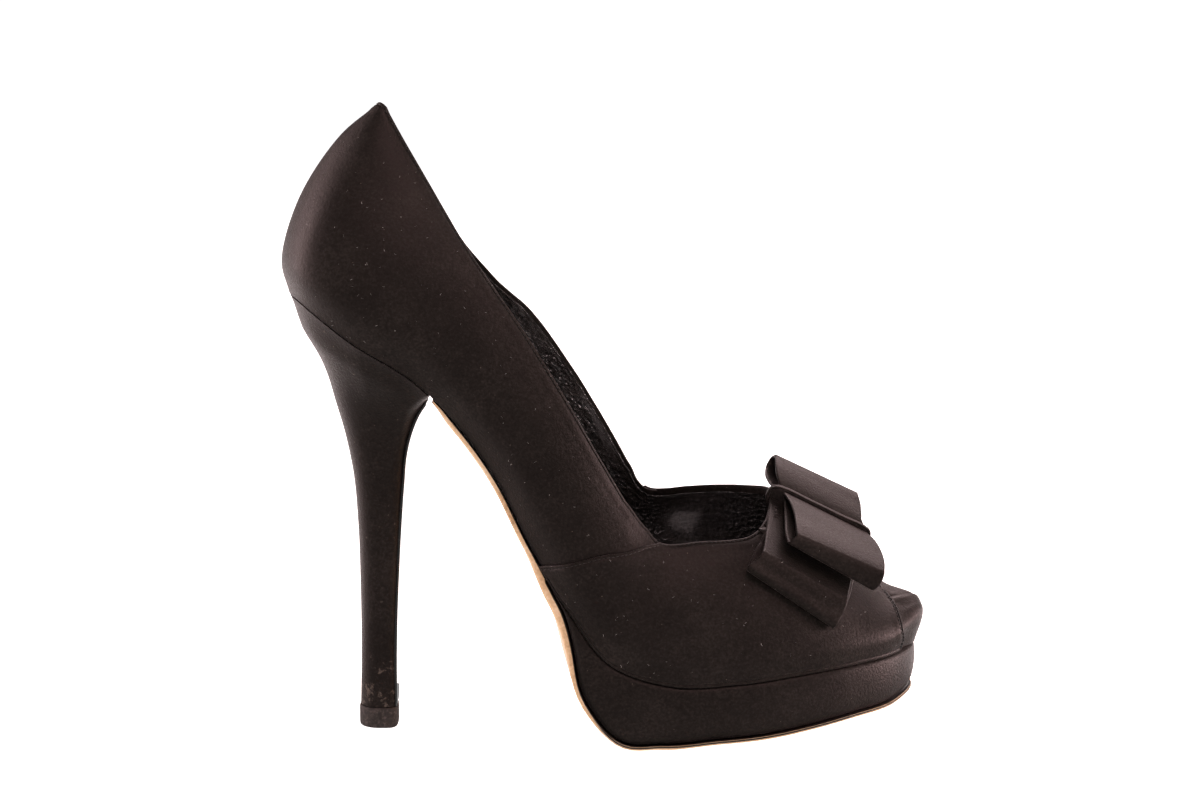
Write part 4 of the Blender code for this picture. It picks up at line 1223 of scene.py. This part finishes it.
bow = {
    "start": 0.7782 * last["length"],
    "rise": 0.0034,
    "slope": radians(26),
    "swing": 0.0015,
    "ribbon": 0.030,
    "thick": 0.0009,
    "rims": (0.0002, 0.0002, 0.0005, 0.0005),
    "lengthLines": (150, 0.070, 0.0005),
    "widthLines": (36, 0.030, 0.0005),
    "clear": 0.00015,
    # Half the band's width, and the ribbon ends inside it as (to the side, share of their outline)
    "bandHalf": 0.0015,
    "coreEnds": [(-0.0017, 0.94), (-0.0014, 1.0), (0.0014, 1.0), (0.0017, 0.94)],
    "bandThick": 0.0009,
    "bandRims": (0.0003, 0.0003, 0.0004, 0.0004),
    "bandSteps": 90,
    "bandAcross": (16, 0.0044, 0.0004),
    # Each row is one place on the folded ribbon, in millimetres: to the side of the bow's middle, then its
    # rear edge (forward of the bow's start, above the crease) and its front edge
    "upperNear": [(-0.6, 0.2, -0.1, 27.5, -0.6), (-8, 2.3, -0.6, 29.8, -0.5), (-16, 3.6, -2.6, 31.3, -1.6),
                  (-22.5, 3.8, -4.2, 31.7, -3.2), (-26.3, 3.9, -5.7, 31.4, -4.6),
                  (-27.3, 3.9, -6.2, 31.3, -5.2), (-27.9, 3.6, -7, 31, -6.4),
                  (-28.5, 2.2, -9, 29.6, -9.8), (-28.4, 1.3, -10.2, 28, -12.2),
                  (-27.6, 1, -10.6, 27.6, -12.8), (-24, 0.4, -9.9, 27.2, -11.8),
                  (-14, 0.4, -6.9, 27, -7.4), (-5, 0.5, -3.6, 27, -3.4), (-0.6, 0.4, -2.1, 27, -2.1)],
    "upperFar": [(0.6, 0.2, -0.1, 27.5, -0.6), (4, -1.1, 2.6, 26, 2.1), (10, -1.4, 5.7, 25.9, 5),
                 (16, -1.3, 6.8, 25.6, 7.2), (20, -1.5, 6.2, 25.8, 6.4), (22, -2.6, 4.3, 26.6, 3.7),
                 (21.5, -3.9, 1.6, 26.8, 0.2), (17, -4.8, -0.9, 26.4, -2.6), (10, -4.3, -1.9, 26.2, -3.6),
                 (5, -3, -2.1, 26.4, -2.8), (0.6, -1.2, -2.1, 27, -2.1)],
    "lowerNear": [(-0.6, -3.4, -3.6, 24.6, -3.8), (-7, -3.9, -6.2, 24, -6.3),
                  (-15, -4.7, -9.6, 22.8, -10.2), (-23, -5.6, -12.9, 21.2, -14.4),
                  (-29.4, -6.4, -15.7, 20, -18), (-30.5, -6.6, -16.2, 19.9, -18.7),
                  (-31.1, -7, -17.1, 19.6, -19.9), (-32.2, -9.2, -20, 18.2, -23.8),
                  (-33.6, -11.4, -22.7, 16.2, -27.9),
                  (-32.6, -11.8, -24.2, 15.5, -29.5), (-25, -9.8, -20.4, 18.6, -24.4),
                  (-14, -6.4, -14.6, 22, -16.8), (-5, -3.8, -9.2, 23.4, -10.2),
                  (-0.6, -3.2, -6.8, 24, -7.6)],
    # The band round the crease, forward of the bow's start and above the crease, in millimetres
    "core": [(-3.6, -9.0), (-4.1, -5.0), (-3.1, -1.8), (-0.9, 0.0), (1.5, 0.5), (14, 0.5), (27.6, 0.4),
             (27.9, -1.4), (25.8, -4.4), (24.4, -8.0), (10, -8.2)],
    "band": [(-3.4, -10.5), (-4.6, -7.5), (-4.9, -4.4), (-3.6, -1.4), (-1.2, 0.5), (1.5, 1.0), (8, 1.0),
             (20, 0.95), (27, 0.9), (28.4, 0.3), (28.4, -1.6), (26.4, -4.6), (25.2, -8.0)],
}


def creaseHeight(along):
    throat = sectionPoints(len(sections) - 1, 1)[-1]
    return throat[2] + bow["rise"] - (along - bow["start"]) * tan(bow["slope"])


def liftedClear(grid, ground):
    # No part of a loop may cut into the vamp that it lies on
    flat = grid.reshape(-1, 3).copy()
    for point in flat:
        spot, normal, _, _ = ground.find_nearest(Vector(point))
        if normal.z < 0:
            normal = -normal
        short = bow["clear"] - (Vector(point) - spot).dot(normal)
        if short > 0:
            point += np.array(normal) * short
    return flat.reshape(grid.shape)


def inFrame(rows):
    # Places in millimetres (forward of the bow's start, to the side, above the crease)
    points = np.array(rows) / 1000 + (bow["start"], bow["swing"], 0)
    points[:, 2] += creaseHeight(points[:, 0])
    return points


def facingUp(normals, row, column):
    return -normals if normals[row, column][2] < 0 else normals


def loopGrid(rows):
    rear = inFrame([(row[1], row[0], row[2]) for row in rows])
    front = inFrame([(row[3], row[0], row[4]) for row in rows])
    knots = walkedAlong((rear + front) / 2)
    at = spacedLines(*bow["lengthLines"]) * knots[-1]
    rear, front = smoothCurve(knots, rear, at), smoothCurve(knots, front, at)
    across = spacedLines(*bow["widthLines"])[None, :, None]
    return rear[:, None] + (front - rear)[:, None] * across - lastMiddle, knots[-1]


def makeLoop(name, rows, ground):
    grid, length = loopGrid(rows)
    grid = liftedClear(grid, ground)
    # The first row runs outwards on top, so its normal must point up
    normals = facingUp(gridNormals(grid), len(grid) // 6, 20)
    piece = foldedSheet(name, grid, 0.0, bow["thick"], bow["rims"], satin, "satin", normals=normals)
    return piece


def makeBand():
    line = inFrame([(along, 0.0, up) for along, up in bow["band"]])
    knots = walkedAlong(line)
    line = smoothCurve(knots, line, spacedLines(bow["bandSteps"], knots[-1], 0.0004) * knots[-1])
    side = (2 * spacedLines(*bow["bandAcross"]) - 1) * bow["bandHalf"]
    grid = line[:, None] + np.array([0, 1, 0])[None, None] * side[None, :, None]
    grid = grid - lastMiddle
    piece = foldedSheet("bowBand", grid, 0.0, bow["bandThick"], bow["bandRims"], satin, "satin",
                        normals=facingUp(gridNormals(grid), 45, 8))
    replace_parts(piece, "bow_band")


def makeCore():
    # The ribbon's ends, stacked inside the band, which close the bow where its loops meet
    line = inFrame([(along, 0.0, up) for along, up in bow["core"]])
    line = smoothLine(np.vstack([line, line[:1]]), 67)[:-1] - lastMiddle
    middle = line.mean(axis=0)
    rings = [middle + (line - middle) * shrink + np.array([0, side, 0]) for side, shrink in bow["coreEnds"]]
    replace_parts(ringSolid("bowRibbonEnds", rings, satin), "bow_band")


underBow = BVHTree.FromPolygons(*skinsOf(("vamp", "toeCap")))
upperNear = makeLoop("bowUpperNear", bow["upperNear"], underBow)
upperFar = makeLoop("bowUpperFar", bow["upperFar"], underBow)
lowerNear = makeLoop("bowLowerNear", bow["lowerNear"], underBow)
lowerFar = makeLoop("bowLowerFar", [(-row[0], *row[1:]) for row in bow["lowerNear"]], underBow)
for loop in (upperNear, upperFar):
    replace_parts(loop, "bow_upper")
for loop in (lowerNear, lowerFar):
    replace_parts(loop, "bow_lower")
makeBand()
makeCore()
print("bow ready")


# Stitches and lint

stitching = {
    "pitch": 0.00145,
    "length": 0.00105,
    "thick": 0.00027,
    "wander": 0.10,
    "seed": 4,
    # How far the lines stop short of a corner, and how far inside the vamp's front edge its two rows run
    "short": 0.0009,
    "toeRows": (0.0009, 0.0019),
    "toeThick": 0.00050,
    "seamThick": 0.00018,
}
# Real fibres are about 0.02 mm thick, and are drawn thicker, so that they show
lint = {"density": 17000.0, "length": 0.0008, "thick": 0.00009, "seed": 11}


def newTree(name, **sizes):
    tree = bpy.data.node_groups.new(name, "GeometryNodeTree")
    tree.interface.new_socket("Geometry", in_out="INPUT", socket_type="NodeSocketGeometry")
    for label, value in sizes.items():
        kind = "NodeSocketInt" if isinstance(value, int) else "NodeSocketFloat"
        tree.interface.new_socket(label, in_out="INPUT", socket_type=kind).default_value = value
    tree.interface.new_socket("Material", in_out="INPUT", socket_type="NodeSocketMaterial")
    tree.interface.new_socket("Geometry", in_out="OUTPUT", socket_type="NodeSocketGeometry")
    return tree


def scattered(tree, given, spots, single, turn, **links):
    # One instance at each spot, turned, made real and given the material
    angle = addNode(tree, "FunctionNodeEulerToRotation", links={0: turn})
    turned = addNode(tree, "FunctionNodeRotateRotation",
                     links={0: spots.outputs["Rotation"], 1: angle}, rotation_space="LOCAL")
    laid = addNode(tree, "GeometryNodeInstanceOnPoints",
                   links={0: spots, "Instance": single, "Rotation": turned, **links})
    real = addNode(tree, "GeometryNodeRealizeInstances", links={0: laid})
    smooth = addNode(tree, "GeometryNodeSetShadeSmooth", links={0: real})
    dressed = addNode(tree, "GeometryNodeSetMaterial", links={0: smooth, "Material": given["Material"]})
    addNode(tree, "NodeGroupOutput", links={0: dressed})
    return tree


def stitchTree():
    # One short thread for each stitch, laid along the line and turned a little by hand
    tree = newTree("stitchRow", Pitch=stitching["pitch"], Length=stitching["length"],
                   Thick=stitching["thick"], Wander=stitching["wander"], Seed=stitching["seed"])
    given = addNode(tree, "NodeGroupInput").outputs
    line = addNode(tree, "GeometryNodeMeshToCurve", links={0: given["Geometry"]})
    spots = addNode(tree, "GeometryNodeCurveToPoints", links={0: line, "Length": given["Pitch"]},
                    mode="LENGTH")
    bead = addNode(tree, "GeometryNodeMeshUVSphere", {"Segments": 6, "Rings": 5, "Radius": 0.5})
    size = addNode(tree, "ShaderNodeCombineXYZ",
                   links={0: given["Thick"], 1: given["Thick"], 2: given["Length"]})
    stitch = addNode(tree, "GeometryNodeTransform", links={0: bead, "Scale": size})
    least = addNode(tree, "ShaderNodeMath", {1: -1.0}, {0: given["Wander"]}, operation="MULTIPLY")
    turn = addNode(tree, "FunctionNodeRandomValue", data_type="FLOAT_VECTOR",
                   links={0: least, 1: given["Wander"], "Seed": given["Seed"]})
    return scattered(tree, given, spots, stitch, turn)


def lintTree():
    # Short bent fibres and specks scattered over the cloth, each lying flat on it
    tree = newTree("clingingLint", Density=lint["density"], Length=lint["length"], Thick=lint["thick"],
                   Seed=lint["seed"])
    given = addNode(tree, "NodeGroupInput").outputs
    spots = addNode(tree, "GeometryNodeDistributePointsOnFaces",
                    links={0: given["Geometry"], "Density": given["Density"], "Seed": given["Seed"]})
    bend = addNode(tree, "GeometryNodeCurveQuadraticBezier",
                   {"Resolution": 4, "Start": (-0.5, 0, 0), "Middle": (0.1, 0.45, 0), "End": (0.5, 0.1, 0)})
    size = addNode(tree, "ShaderNodeCombineXYZ", links={axis: given["Length"] for axis in range(3)})
    drawn = addNode(tree, "GeometryNodeTransform", links={0: bend, "Scale": size})
    half = addNode(tree, "ShaderNodeMath", {1: 0.5}, {0: given["Thick"]}, operation="MULTIPLY")
    ring = addNode(tree, "GeometryNodeCurvePrimitiveCircle", {"Resolution": 4}, {"Radius": half})
    fibre = addNode(tree, "GeometryNodeCurveToMesh", {"Fill Caps": True}, {0: drawn, 1: ring})
    turn = addNode(tree, "FunctionNodeRandomValue", {1: (0.0, 0.0, 2 * pi)}, {"Seed": given["Seed"]},
                   data_type="FLOAT_VECTOR")
    grown = addNode(tree, "FunctionNodeRandomValue", {0: (0.12, 0.2, 0.7), 1: (1.1, 1.0, 1.2)},
                    {"Seed": given["Seed"]}, data_type="FLOAT_VECTOR")
    return scattered(tree, given, spots, fibre, turn, Scale=grown)


def grownBy(tree, name, points, edges, faces, material, slot, **sizes):
    # The tree's result as a plain mesh
    mesh = bpy.data.meshes.new(name + "Base")
    mesh.from_pydata([tuple(point) for point in points], edges, faces)
    base = placed(name + "Base", mesh)
    work = base.modifiers.new("grow", "NODES")
    work.node_group = tree
    for socket in tree.interface.items_tree:
        if socket.in_out == "INPUT" and socket.name in sizes:
            work[socket.identifier] = sizes[socket.name]
        elif socket.in_out == "INPUT" and socket.name == "Material":
            work[socket.identifier] = material
    ready = base.evaluated_get(bpy.context.evaluated_depsgraph_get())
    result = bpy.data.meshes.new_from_object(ready)
    result.name = name
    base.modifiers.remove(work)
    bpy.data.objects.remove(base)
    piece = placed(name, result)
    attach(piece, "root")
    return piece


def lineInside(name, border, distance, first=0, final=None):
    # The line on a sheet's upper skin that runs this far inside one of its borders
    grid = skins[name]
    if border >= 2:
        grid = grid.transpose(1, 0, 2)
    if border % 2:
        grid = grid[::-1]
    walked = np.zeros(grid.shape[:2])
    walked[1:] = np.cumsum(np.linalg.norm(np.diff(grid, axis=0), axis=2), axis=0)
    columns = range(grid.shape[1])[first:final]
    line = [[np.interp(distance, walked[:, j], grid[:, j, k]) for k in range(3)] for j in columns]
    run = walkedAlong(np.array(line))
    return np.array(line)[(run > stitching["short"]) & (run < run[-1] - stitching["short"])]


def sewn(name, lines, material, **sizes):
    points, edges = [], []
    for line in lines:
        edges += [(len(points) + k, len(points) + k + 1) for k in range(len(line) - 1)]
        points += list(line)
    return grownBy(stitches, name, points, edges, [], material, "satin", **sizes)


stitches = stitchTree()
vampRows = skins["vamp"].shape[0]
fromCorner = np.linalg.norm(skins["vamp"][:vampRows // 2, 0] - onLast(cornerWalk, 0.0), axis=1)
atCorner = int(np.argmin(fromCorner)) + 1
topline = [lineInside(name, 3, folds["stitch"]) for name in ("quarterOuter", "quarterInner", "vamp")]
toeRows = [lineInside("vamp", 2, inset, atCorner, vampRows - atCorner) for inset in stitching["toeRows"]]
seams = [lineInside("vamp", border, folds["stitch"]) for border in (0, 1)]
sewn("toplineStitches", topline, thread)
sewn("toeEdgeStitches", toeRows, thread, Thick=stitching["toeThick"])
# The vamp's seam stitches take the lighter copy of the thread, a painted highlight
sewn("vampSeamStitches", seams, highlitSeamThread, Thick=stitching["seamThick"])

dusty = ("vamp", "quarterOuter", "quarterInner", "toeCap", "bowUpperNear", "bowLowerNear")
points, faces = skinsOf(dusty, turned=[name for name in dusty if name != "quarterInner"])
grownBy(lintTree(), "satinLint", points, [], faces, fluff, "satin")
print("stitches and lint ready")


# Studio

studio = {
    "lens": 95.1,
    "distance": 1.0,
    "azimuth": radians(1),
    "elevation": radians(11),
    "target": (-0.00139, -0.00034, 0.1061),
    "zenith": 0.08,
    "horizon": 0.34,
    "under": 0.30,
    "floorGlow": 0.97,
    "floorReach": 8.0,
    "sweepFrom": 0.045,
    "warmth": "#ffe8e7",
    # Name, place, target, size and power
    "lights": [
        ("leftStrip", (-1.0, 0.20, 0.38), (-0.05, 0, 0.12), (0.50, 0.8), 11),
        ("rightBox", (1.0, 0.04, 0.15), (0.05, 0, 0.05), (0.60, 0.42), 15),
        ("backTop", (0.25, 0.85, 0.85), (0.05, 0, 0.06), (0.9, 0.6), 11),
        ("rightTop", (0.25, -0.60, 1.20), (0.05, 0, 0.08), (0.35, 0.35), 5.8),
        ("frontFill", (-0.10, -1.00, 0.85), (0, 0, 0.10), (0.35, 0.30), 1.3),
    ],
}


def makeCamera():
    azimuth, elevation = studio["azimuth"], studio["elevation"]
    look = Vector((-sin(azimuth) * cos(elevation), cos(azimuth) * cos(elevation), -sin(elevation)))
    data = bpy.data.cameras.new("studioCamera")
    data.lens = studio["lens"]
    data.sensor_width = 36
    data.clip_start, data.clip_end = 0.05, 50
    camera = placed("studioCamera", data)
    camera.location = Vector(studio["target"]) - look * studio["distance"]
    camera.rotation_euler = look.to_track_quat("-Z", "Y").to_euler()
    bpy.context.scene.camera = camera


def makeFloor():
    # In two sheets: the one behind the shoe shows in glossy faces, and the glare of the one in front is
    # kept off them
    material, _, shader = newMaterial("matteWhitePaper", Roughness=0.9, Specular_IOR_Level=0.1,
                                      Emission_Strength=studio["floorGlow"])
    shader.inputs["Base Color"].default_value = linear("#f4f3f2")
    shader.inputs["Emission Color"].default_value = linear("#ffffff")
    reach, middle = studio["floorReach"], studio["sweepFrom"]
    for name, near, far in (("studioFloor", -reach, middle), ("studioSweep", middle, reach)):
        mesh = bpy.data.meshes.new(name)
        corners = [(-reach, near, 0), (reach, near, 0), (reach, far, 0), (-reach, far, 0)]
        mesh.from_pydata(corners, [], [(0, 1, 2, 3)])
        mesh.materials.append(material)
        floor = placed(name, mesh)
        floor.visible_glossy = name == "studioSweep"


def softLight(name, place, target, size, power):
    data = bpy.data.lights.new(name, "AREA")
    data.shape = "RECTANGLE"
    data.size, data.size_y = size
    data.energy = power
    data.color = linear(studio["warmth"])[:3]
    light = placed(name, data)
    light.location = place
    light.rotation_euler = (Vector(target) - Vector(place)).to_track_quat("-Z", "Y").to_euler()


def makeWorld():
    world = bpy.data.worlds.new("studioWorld")
    world.use_nodes = True
    tree = world.node_tree
    background = tree.nodes["Background"]
    background.inputs["Color"].default_value = linear("#ffffff")
    direction = addNode(tree, "ShaderNodeTexCoord").outputs["Generated"]
    up = addNode(tree, "ShaderNodeSeparateXYZ", links={0: direction}).outputs["Z"]
    horizon = studio["horizon"]
    over = addNode(tree, "ShaderNodeMapRange", {1: 0.0, 2: 0.5, 3: horizon, 4: studio["zenith"]}, {0: up})
    under = addNode(tree, "ShaderNodeMapRange", {1: -0.5, 2: 0.0, 3: studio["under"], 4: horizon}, {0: up})
    glow = addNode(tree, "ShaderNodeMath", links={0: over, 1: under}, operation="MINIMUM")
    joined(tree, background, {"Strength": glow})
    bpy.context.scene.world = world


makeCamera()
makeFloor()
makeWorld()
for row in studio["lights"]:
    softLight(*row)
bpy.context.scene.view_settings.view_transform = "Standard"
print("studio ready")
